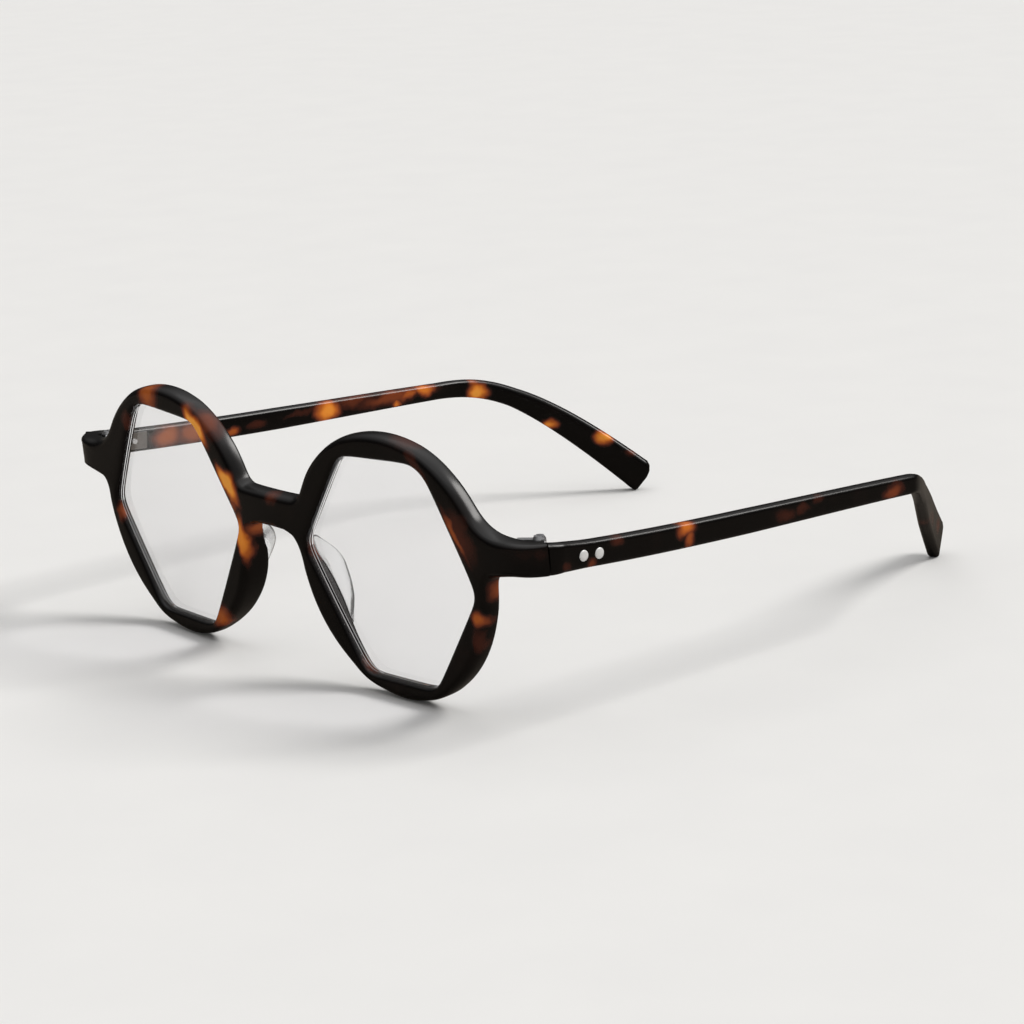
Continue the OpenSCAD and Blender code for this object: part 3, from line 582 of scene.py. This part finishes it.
# Lenses: six-sided plates of clear mineral glass, softly curved, with a
# bevelled edge that snaps into the groove of the rim.
LENS_GAP, LENS_FRONT, LENS_THICKNESS, BASE_RADIUS, BEVEL_HALF = 0.15, 0.25, 2.0, 260.0, 0.5
LENS_RINGS = (0.02, 0.15, 0.3, 0.45, 0.6, 0.75, 0.88, 0.96, 1.0)
LENS_ANGLES = np.linspace(0, 360, 180, endpoint=False)
HAZE_TINT, HAZE_ROUGHNESS = 0.015, 1.6


def clear_material(name, tint, rough):
    """Clear glass or plastic with a faint haze, which lets daylight through to the table."""
    material, tree = node_material(name)
    haze = noise(tree, 60.0, 2.0)
    paler = tuple(min(1, v + HAZE_TINT) for v in tint)
    color = toned(tree, haze, (0.0, tint + (1,)), (1.0, paler + (1,)))
    soft = add(tree, "ShaderNodeMapRange", To_Min=rough, To_Max=rough * HAZE_ROUGHNESS)
    link(tree, haze, soft.inputs["Value"])
    shader = add(tree, "ShaderNodeBsdfPrincipled", IOR=1.5, Transmission_Weight=1.0)
    link(tree, color, shader.inputs["Base Color"])
    link(tree, soft.outputs[0], shader.inputs["Roughness"])
    through = add(tree, "ShaderNodeBsdfTransparent", Color=(0.93, 0.93, 0.94, 1))
    path = add(tree, "ShaderNodeLightPath")
    either = add(tree, "ShaderNodeMath", {"operation": "MAXIMUM"})
    link(tree, path.outputs["Is Shadow Ray"], either.inputs[0])
    link(tree, path.outputs["Is Diffuse Ray"], either.inputs[1])
    surface(tree, mixed(tree, either.outputs[0], shader.outputs[0], through.outputs[0]))
    return material


def lens_ring(share, depth):
    """A ring of a lens face, at a share of the lens's radius."""
    radii = [share * (lens_radius(a) - LENS_GAP) for a in LENS_ANGLES]
    return [wrap_point(*(r * radial(a)), depth + r * r / (2 * BASE_RADIUS))
            for r, a in zip(radii, LENS_ANGLES)]


def bevel_ring(extra, depth):
    """A ring of the bevelled edge, at one depth."""
    return [wrap_point(*((lens_radius(a) - LENS_GAP + extra) * radial(a)), depth)
            for a in LENS_ANGLES]


def loft(rings, flip=False):
    """Faces of a closed body through rings of equal count, with a cap on each end."""
    n = len(rings[0])
    faces = [(i * n + j, i * n + (j + 1) % n, (i + 1) * n + (j + 1) % n, (i + 1) * n + j)
             for i in range(len(rings) - 1) for j in range(n)]
    faces += [tuple(range(n))[::-1], tuple(range((len(rings) - 1) * n, len(rings) * n))]
    return [f[::-1] for f in faces] if flip else faces


rings = ([lens_ring(share, LENS_FRONT) for share in LENS_RINGS]
         + [bevel_ring(0, GROOVE_MIDDLE - BEVEL_HALF),
            bevel_ring(GROOVE_DEPTH - LENS_GAP, GROOVE_MIDDLE),
            bevel_ring(0, GROOVE_MIDDLE + BEVEL_HALF)]
         + [lens_ring(share, LENS_FRONT + LENS_THICKNESS) for share in LENS_RINGS[::-1]])
lens_points = front_world(np.array(rings).reshape(-1, 3))
lens_glass = clear_material("lens_glass", (0.975, 0.975, 0.985), 0.004)
for side, points in (("left", lens_points), ("right", mirrored(lens_points))):
    piece("lens_glass_" + side, points, loft(rings, flip=side == "left"), lens_glass,
          "front", "lens_" + side)

# Nose pads: clear moulded bumps glued behind the nasal part of each rim,
# flush with the lens side and fullest near their upper end.
PAD_FROM, PAD_TO, PAD_SECTIONS = 174.5, 222.0, 24
PAD_HEIGHT, PAD_WIDTH, PAD_GAP, PAD_INSET, PAD_MARGIN = 4.2, 3.4, 0.12, 0.05, 0.15
PAD_SLIM, PAD_SWELL = 0.7, 0.3
PAD_LIFT, PAD_LIFT_TO, PAD_LIFT_RUN = 0.45, 194, 8  # clears the curve of the rim's rear
PAD_PROFILE = ((0, 0.07, 0.137, 0.2, 0.33, 0.45, 0.58, 0.705, 0.83, 0.92, 1),
               (0.1, 0.45, 0.78, 0.94, 1, 0.96, 0.84, 0.65, 0.4, 0.2, 0.06))
PAD_SECTION = ((1, 0), (0.8, 0.3), (0.55, 0.64), (0.32, 0.92), (0.15, 1), (0.05, 0.88),
               (0.01, 0.6), (0, 0))


def pad_section(t):
    """One cross section of a pad, t from its upper to its lower end."""
    fullness = float(np.interp(t, *PAD_PROFILE))
    a = PAD_FROM + (PAD_TO - PAD_FROM) * t
    inner, outer = lens_radius(a) + LIP, rim_radius + rim_offset(a) - EDGE_RADIUS
    width = min(PAD_WIDTH, outer - inner - PAD_MARGIN) * (PAD_SLIM + PAD_SWELL * fullness)
    low, high = rear_depths(a)
    lift = PAD_LIFT * max(0.0, min(1.0, (PAD_LIFT_TO - a) / PAD_LIFT_RUN))
    out = []
    for across, tall in PAD_SECTION:
        r = inner + PAD_INSET + across * width
        rear = low + (high - low) * (r - inner) / (outer - inner)
        depth = rear + PAD_GAP + lift + tall * fullness * PAD_HEIGHT
        out.append(wrap_point(*(r * radial(a)), depth))
    return out


rings = [pad_section(t) for t in np.linspace(0, 1, PAD_SECTIONS)]
pad_points = front_world(np.array(rings).reshape(-1, 3))
pad_silicone = clear_material("pad_silicone", (0.96, 0.965, 0.97), 0.16)
for side, points in (("left", pad_points), ("right", mirrored(pad_points))):
    piece("pad_" + side, points, loft(rings, flip=side == "right"), pad_silicone,
          "front", "nose_pad_" + side, level=2)

# Temples: acetate bars laminated over a steel wire, the outer face carrying
# on from the end piece, bent down and in behind the ear to a flat paddle.
# A wearer's fitting has bent the two a little differently.
TEMPLE_THICKNESS, TEMPLE_HEIGHT, TEMPLE_EDGE, STRAIGHT = 2.7, 4.8, 1.0, 93.0
STRAIGHT_FALL, START_SLOPE, END_SLOPE = 0.0575, -0.1, -0.055
JOINT_DROP, START_INSET, START_RUN = 0.35, 0.06, 0.2
STRAIGHT_STEPS, BEND_STEPS = (-0.1, 0, 0.06, 0.3, 0.5), (1, 1.25, 1.5, 1.75, 2.0)
STRAIGHT_HEIGHTS = (END_HEIGHT - 0.1, END_HEIGHT - 0.55, TEMPLE_HEIGHT + 0.25, TEMPLE_HEIGHT + 0.1,
                    TEMPLE_HEIGHT)
CORNER_STEPS, SIDE_STEPS = 5, (0.33, 0.67)
JOINT_RINGS, STRAIGHT_RINGS, BEND_RINGS, TIP_RINGS = 9, 40, 60, 9
TIP_STEPS = (0, 0.4, 0.75, 1)
TIP_ALONG, TIP_DOWN = (-0.9, 0.2, 0.95, 1.3), (0, 0.25, 0.7, 1.1)
TIP_THINNER, TIP_LOWER, TIP_EDGE = (0, 0.02, 0.18, 0.6), (0, 0.3, 0.9, 1.75), 0.5
LINE_STEP, SETTLING_PASSES = 0.01, 3
# from the start of the bend to the tip: mm back and inwards, pull of both ends
# of the curve, degrees of the tip inwards and down, mm the start hangs lower,
# and heights of the bar at BEND_STEPS
LEFT_BEND = {"run": 38.65, "inset": 27.07, "lead": 3.8, "trail": 22.4,
             "inward": 27.7, "down": 41.4, "sag": 0.0, "heights": (3.94, 3.72, 4.47, 7.5, 8.3)}
RIGHT_BEND = {"run": 39.34, "inset": 26.06, "lead": 14.3, "trail": 35.1,
              "inward": 46.5, "down": 39.7, "sag": 0.2, "heights": (3.79, 4.22, 4.40, 5.96, 7.47)}


def heading(inward, down):
    """Unit direction of a temple tip from its angles in degrees."""
    a, b = math.radians(inward), math.radians(down)
    return np.array([-math.sin(a) * math.cos(b), math.cos(a) * math.cos(b), -math.sin(b)])


def placed(x, y, z):
    """A point in the frame of the front, still without the shift to the middle."""
    return tilt([x, y, z]) + [0, 0, centre_z]


corner_mid = placed(corner_centre[0] + END_RADIUS, corner_centre[1], END_LEVEL - JOINT_DROP)
straight_start = np.array([corner_centre[0] + END_RADIUS - TEMPLE_THICKNESS / 2,
                           corner_mid[1], corner_mid[2]])
bend_start = straight_start + [0, STRAIGHT, -STRAIGHT * STRAIGHT_FALL]


def temple_line(q, bend):
    """Centre line: 0 to 1 is the straight run, 1 to 2 the bend behind the ear."""
    if q <= 1:
        a, b = straight_start[2], bend["start"][2]
        z = ((2 * q ** 3 - 3 * q ** 2 + 1) * a + (q ** 3 - 2 * q ** 2 + q) * START_SLOPE * STRAIGHT
             + (3 * q ** 2 - 2 * q ** 3) * b + (q ** 3 - q ** 2) * END_SLOPE * STRAIGHT)
        x = straight_start[0] - START_INSET * max(0, 1 - q / START_RUN)
        return np.array([x, straight_start[1] + STRAIGHT * q, z])
    t = q - 1
    s = 1 - t
    lead = bend["start"] + bend["lead"] * np.array([0, 1, END_SLOPE])
    trail = bend["tip"] - bend["trail"] * bend["heading"]
    return (s ** 3 * bend["start"] + 3 * s * s * t * lead
            + 3 * s * t * t * trail + t ** 3 * bend["tip"])


def temple_frame(q, bend):
    """Place on the centre line, with the directions out and up across the bar."""
    t = temple_line(min(2, q + LINE_STEP), bend) - temple_line(max(0, q - LINE_STEP), bend)
    t /= np.linalg.norm(t)
    u = np.array([0, 0, 1]) - t[2] * t
    u /= np.linalg.norm(u)
    return temple_line(q, bend), np.cross(t, u), u


def ring(centre, out, rise, a, b, r):
    """A rounded rectangle: half width a along out, half height b along rise, corner radius r."""
    points = []
    for quarter, (sx, sy) in enumerate(((1, 1), (-1, 1), (-1, -1), (1, -1))):
        for step in range(CORNER_STEPS):
            angle = math.radians(90 * quarter + 90 / (CORNER_STEPS - 1) * step)
            points.append(centre + (sx * (a - r) + r * math.cos(angle)) * out
                          + (sy * (b - r) + r * math.sin(angle)) * rise)
        level = quarter % 2 == 0
        far = (-sx, sy) if level else (sx, -sy)
        for f in SIDE_STEPS:
            x = (sx + (far[0] - sx) * f) * (a - r) if level else sx * a
            y = sy * b if level else (sy + (far[1] - sy) * f) * (b - r)
            points.append(centre + x * out + y * rise)
    return points


def temple_rings(bend):
    """Rings from the joint round the corner, along the bar and to the rounded tip."""
    out = []
    front_up = np.array([0, -math.sin(FRONT_TILT), math.cos(FRONT_TILT)])
    run_dir = np.array([math.cos(JOINT_ANGLE), math.sin(JOINT_ANGLE)])
    half_thick = TEMPLE_THICKNESS / 2
    for f in np.linspace(0, 1, JOINT_RINGS)[:-1]:
        a = JOINT_ANGLE + (math.pi / 2 - JOINT_ANGLE) * f
        n = np.array([math.sin(a), -math.cos(a)])
        o = corner_centre + END_RADIUS * n + (JOINT_GAP if f == 0 else 0) * run_dir
        c = placed(o[0] - n[0] * half_thick, o[1] - n[1] * half_thick, END_LEVEL - JOINT_DROP * f)
        u = (1 - f) * front_up + f * np.array([0, -START_SLOPE, 1])
        w = np.array([n[0], n[1] * math.cos(FRONT_TILT), n[1] * math.sin(FRONT_TILT)])
        h = np.interp(STRAIGHT_STEPS[0] * (1 - f), *bend["heights"]) / 2
        out.append(ring(c, w, u / np.linalg.norm(u), half_thick, h, TEMPLE_EDGE))
    for q in list(np.linspace(0, 1, STRAIGHT_RINGS)) + list(np.linspace(1, 2, BEND_RINGS)[1:-1]):
        h = np.interp(q, *bend["heights"]) / 2
        out.append(ring(*temple_frame(q, bend), half_thick, h, TEMPLE_EDGE))
    c, w, u = temple_frame(2, bend)
    h = np.interp(2, *bend["heights"]) / 2
    for f in np.linspace(0, 1, TIP_RINGS):
        along, down, thinner, lower = (np.interp(f, TIP_STEPS, shape)
                                       for shape in (TIP_ALONG, TIP_DOWN, TIP_THINNER, TIP_LOWER))
        out.append(ring(c + along * bend["heading"] - down * u, w, u,
                        half_thick - thinner, h - lower, TEMPLE_EDGE * (1 - TIP_EDGE * f)))
    return out


def settled_bend(facts):
    """A bend whose paddle rests on the table."""
    bend = {"start": bend_start - [0, 0, facts["sag"]],
            "lead": facts["lead"], "trail": facts["trail"],
            "heading": heading(facts["inward"], facts["down"]),
            "heights": (STRAIGHT_STEPS + BEND_STEPS, STRAIGHT_HEIGHTS + facts["heights"]),
            "tip": np.array([bend_start[0] - facts["inset"], bend_start[1] + facts["run"], 0.0])}
    for _ in range(SETTLING_PASSES):
        bend["tip"] = bend["tip"] - [0, 0, np.array(temple_rings(bend))[..., 2].min()]
    return bend


def on_side(points, side):
    """Shifts points of a left temple to the middle of the box and turns them to their own side."""
    points = np.asarray(points) + [0, BACK_SHIFT / MM, 0]
    return mirrored(points) if side == "right" else points


LEFT_SPOTS = [
    ((73.8, -60.8, 31.4), (3.0, 1.6, 1.2), 0, 0.28),
    ((73.8, -55.3, 30.5), (3.0, 1.4, 1.0), 0, 0.42),
    ((73.7, -48.7, 33.9), (3.0, 1.6, 1.3), 0, 0.34),
    ((73.8, -31.3, 32.3), (3.0, 2.6, 1.8), 0, 0.76),
    ((73.8, -30.2, 29.8), (3.0, 1.4, 2.2), 0, 0.58),
    ((73.8, -4.8, 29.2), (3.0, 3.0, 1.5), 0, 0.30),
    ((73.8, -0.1, 29.6), (3.0, 2.4, 1.2), 0, 0.30),
    ((73.8, 4.4, 30.5), (3.0, 2.0, 1.0), 0, 0.28),
    ((73.8, 25.8, 27.6), (3.0, 3.0, 1.8), 0, 0.48),
    ((53.4, 61.5, 11.3), (3.0, 2.5, 2.5), 0, 0.32),
    ((48.3, 68.1, 7.5), (3.0, 2.5, 2.0), 0, 0.36),
    ((54.3, 56.1, 12.8), (3.0, 3.0, 2.0), 0, 0.28)]
RIGHT_SPOTS = [
    ((-71.1, -28.2, 29.4), (3.0, 2.2, 1.1), 0, 0.64),
    ((-71.1, -21.5, 29.6), (3.0, 3.0, 1.2), 0, 0.34),
    ((-71.1, -1.4, 29.2), (3.0, 3.6, 2.6), 0, 0.92),
    ((-71.1, 6.5, 30.2), (3.0, 7.0, 1.8), 0, 0.40),
    ((-71.1, -8.5, 30.0), (3.0, 6.0, 0.8), 0, 0.30),
    ((-71.1, 18.5, 28.8), (3.0, 12.0, 1.9), 0, 0.50),
    ((-71.1, 27.0, 28.9), (3.0, 3.0, 1.6), 0, 0.80),
    ((-71.1, 18.6, 27.0), (3.0, 1.5, 0.9), 0, 0.80),
    ((-71.1, 22.3, 28.5), (3.0, 3.4, 1.3), 0, 0.64),
    ((-69.8, 41.6, 25.9), (3.0, 2.6, 2.2), 0, 0.98),
    ((-70.0, 41.0, 28.0), (2.6, 1.8, 1.6), 0, 0.60),
    ((-60.5, 55.3, 16.6), (2.0, 2.2, 1.4), 0, 0.90),
    ((-51.4, 64.5, 13.2), (2.2, 2.4, 1.8), 0, 0.95),
    ((-46.9, 68.8, 9.6), (1.6, 1.8, 1.2), 0, 0.42),
    ((-71.1, -44.7, 31.6), (3.0, 4.2, 2.6), 0, 0.66),
    ((-71.1, -37.6, 31.0), (3.0, 5.0, 2.6), 0, 0.62)]
bends = {"left": settled_bend(LEFT_BEND), "right": settled_bend(RIGHT_BEND)}
for side, spots in (("left", LEFT_SPOTS), ("right", RIGHT_SPOTS)):
    rings = temple_rings(bends[side])
    piece("temple_bar_" + side, on_side(np.array(rings).reshape(-1, 3), side),
          loft(rings, flip=side == "left"), tortoise("tortoise_" + side, spots),
          side + "_temple", "temple_" + side)

# Hinges and screws: five-barrel hinges of satin steel, stamped and rolled,
# each with a slotted screw through its barrels. The frame's own nodes have
# their shape and stay.
satin_steel, tree = node_material("satin_steel")
brush = noise(tree, 900.0, 3.0)
tone = toned(tree, brush, (0.0, (0.55, 0.55, 0.56, 1)), (1.0, (0.78, 0.78, 0.79, 1)))
satin = add(tree, "ShaderNodeMapRange", To_Min=0.24, To_Max=0.38)
link(tree, brush, satin.inputs["Value"])
shader = add(tree, "ShaderNodeBsdfPrincipled", Metallic=1.0)
link(tree, tone, shader.inputs["Base Color"])
link(tree, satin.outputs[0], shader.inputs["Roughness"])
surface(tree, shader.outputs[0])
for name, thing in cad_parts.items():
    if name.startswith(("front_hinge", "temple_hinge", "hinge_screw")):
        thing.data.materials.clear()
        thing.data.materials.append(satin_steel)

# Core wires: drawn steel wires inside the temples, which stiffen the acetate
# and hold its bend, from behind the hinge leaf almost to the tip.
WIRE_RADIUS, WIRE_SIDES, WIRE_FROM, WIRE_TO = 0.65, 16, 0.1245, 1.81
WIRE_STRAIGHT_POINTS, WIRE_BEND_POINTS = 14, 18


def node_tree(name, sockets):
    """An empty Geometry Nodes tree with the given inputs and a Material input."""
    tree = bpy.data.node_groups.new(name, "GeometryNodeTree")
    tree.interface.new_socket("Geometry", in_out="OUTPUT", socket_type="NodeSocketGeometry")
    tree.interface.new_socket("Geometry", in_out="INPUT", socket_type="NodeSocketGeometry")
    for label, kind in sockets + (("Material", "Material"),):
        tree.interface.new_socket(label, in_out="INPUT", socket_type="NodeSocket" + kind)
    return tree, add(tree, "NodeGroupInput")


def close_tree(tree, entry, source):
    """Ends a tree with real geometry and its material."""
    real = add(tree, "GeometryNodeRealizeInstances")
    paint = add(tree, "GeometryNodeSetMaterial")
    link(tree, source, real.inputs[0])
    link(tree, real.outputs[0], paint.inputs["Geometry"])
    link(tree, entry.outputs["Material"], paint.inputs["Material"])
    link(tree, paint.outputs[0], add(tree, "NodeGroupOutput").inputs[0])


def grown(name, points, edges, tree, values, body, nodes):
    """A piece grown by a Geometry Nodes tree from a few points in mm."""
    mesh = bpy.data.meshes.new(name)
    mesh.from_pydata([tuple(v) for v in np.asarray(points) * MM], edges, [])
    thing = bpy.data.objects.new(name, mesh)
    bpy.context.scene.collection.objects.link(thing)
    modifier = thing.modifiers.new("grow", "NODES")
    modifier.node_group = tree
    sockets = {item.name: item.identifier for item in tree.interface.items_tree
               if item.in_out == "INPUT"}
    for label, value in values.items():
        modifier[sockets[label]] = value
    return settle(thing, values["Material"], body, nodes)


drawn_wire, entry = node_tree("drawn_wire", (("Radius", "Float"), ("Sides", "Int")))
path = add(drawn_wire, "GeometryNodeMeshToCurve")
link(drawn_wire, entry.outputs["Geometry"], path.inputs[0])
round_section = add(drawn_wire, "GeometryNodeCurvePrimitiveCircle")
link(drawn_wire, entry.outputs["Radius"], round_section.inputs["Radius"])
link(drawn_wire, entry.outputs["Sides"], round_section.inputs["Resolution"])
swept = add(drawn_wire, "GeometryNodeCurveToMesh", Fill_Caps=True)
link(drawn_wire, path.outputs[0], swept.inputs["Curve"])
link(drawn_wire, round_section.outputs[0], swept.inputs["Profile Curve"])
close_tree(drawn_wire, entry, swept.outputs[0])

wire_way = (list(np.linspace(WIRE_FROM, 1, WIRE_STRAIGHT_POINTS))
            + list(np.linspace(1, WIRE_TO, WIRE_BEND_POINTS)[1:]))
for side in ("left", "right"):
    wire_line = on_side([temple_line(q, bends[side]) for q in wire_way], side)
    grown("core_wire_" + side + "_drawn", wire_line,
          [(i, i + 1) for i in range(len(wire_line) - 1)], drawn_wire,
          {"Radius": WIRE_RADIUS * MM, "Sides": WIRE_SIDES, "Material": satin_steel},
          side + "_temple", ("core_wire_" + side,))

# Rivets: two steel rivets in each temple, domed heads outside, whose
# shanks go through the acetate and hold the leaf of the hinge. Their
# near-white colour is pale steel with its highlight painted in.
RIVET_FIRST, RIVET_SPACING, RIVET_DEPTH = 13.6, 3.8, 3.3
RIVET_HEAD, RIVET_DOME, RIVET_SHANK = 1.05, 0.26, 0.55

rivet_steel_painted_glint, tree = node_material("rivet_steel_painted_glint")
# near white: the steel's own pale tone with a painted highlight on top
tone = toned(tree, noise(tree, 1400.0, 2.0),
             (0.0, (0.80, 0.80, 0.80, 1)), (1.0, (0.95, 0.95, 0.94, 1)))
shader = add(tree, "ShaderNodeBsdfPrincipled", Metallic=0.3, Roughness=0.35)
link(tree, tone, shader.inputs["Base Color"])
surface(tree, shader.outputs[0])

rivet_row, entry = node_tree("rivet_row", (("Head Radius", "Float"), ("Head Height", "Float"),
                                           ("Shank Radius", "Float"), ("Shank Length", "Float"),
                                           ("Turn", "Vector")))
head = add(rivet_row, "GeometryNodeMeshUVSphere", Segments=40, Rings=20, Radius=1.0)
head_size = add(rivet_row, "ShaderNodeCombineXYZ")
for axis, label in enumerate(("Head Radius", "Head Radius", "Head Height")):
    link(rivet_row, entry.outputs[label], head_size.inputs[axis])
domed_head = add(rivet_row, "GeometryNodeTransform")
link(rivet_row, head.outputs["Mesh"], domed_head.inputs["Geometry"])
link(rivet_row, head_size.outputs[0], domed_head.inputs["Scale"])
shank = add(rivet_row, "GeometryNodeMeshCylinder", Vertices=32)
link(rivet_row, entry.outputs["Shank Radius"], shank.inputs["Radius"])
link(rivet_row, entry.outputs["Shank Length"], shank.inputs["Depth"])
half_length = add(rivet_row, "ShaderNodeMath", {"operation": "MULTIPLY"}, i1=-0.5)
link(rivet_row, entry.outputs["Shank Length"], half_length.inputs[0])
sink = add(rivet_row, "ShaderNodeCombineXYZ")
link(rivet_row, half_length.outputs[0], sink.inputs[2])
sunk_shank = add(rivet_row, "GeometryNodeTransform")
link(rivet_row, shank.outputs["Mesh"], sunk_shank.inputs["Geometry"])
link(rivet_row, sink.outputs[0], sunk_shank.inputs["Translation"])
one_rivet = add(rivet_row, "GeometryNodeJoinGeometry")
link(rivet_row, domed_head.outputs[0], one_rivet.inputs[0])
link(rivet_row, sunk_shank.outputs[0], one_rivet.inputs[0])
copies = add(rivet_row, "GeometryNodeInstanceOnPoints")
link(rivet_row, entry.outputs["Geometry"], copies.inputs["Points"])
link(rivet_row, one_rivet.outputs[0], copies.inputs["Instance"])
link(rivet_row, entry.outputs["Turn"], copies.inputs["Rotation"])
close_tree(rivet_row, entry, copies.outputs[0])

for side, outward in (("left", 1), ("right", -1)):
    shares = [(RIVET_FIRST + i * RIVET_SPACING - straight_start[1]) / STRAIGHT for i in (0, 1)]
    seats = [temple_line(q, bends[side]) + [TEMPLE_THICKNESS / 2, 0, 0] for q in shares]
    grown("rivets_" + side, on_side(seats, side), [], rivet_row,
          {"Head Radius": RIVET_HEAD * MM, "Head Height": RIVET_DOME * MM,
           "Shank Radius": RIVET_SHANK * MM, "Shank Length": RIVET_DEPTH * MM,
           "Turn": (0.0, outward * math.pi / 2, 0.0), "Material": rivet_steel_painted_glint},
          side + "_temple", ("rivet_front_" + side, "rivet_rear_" + side))
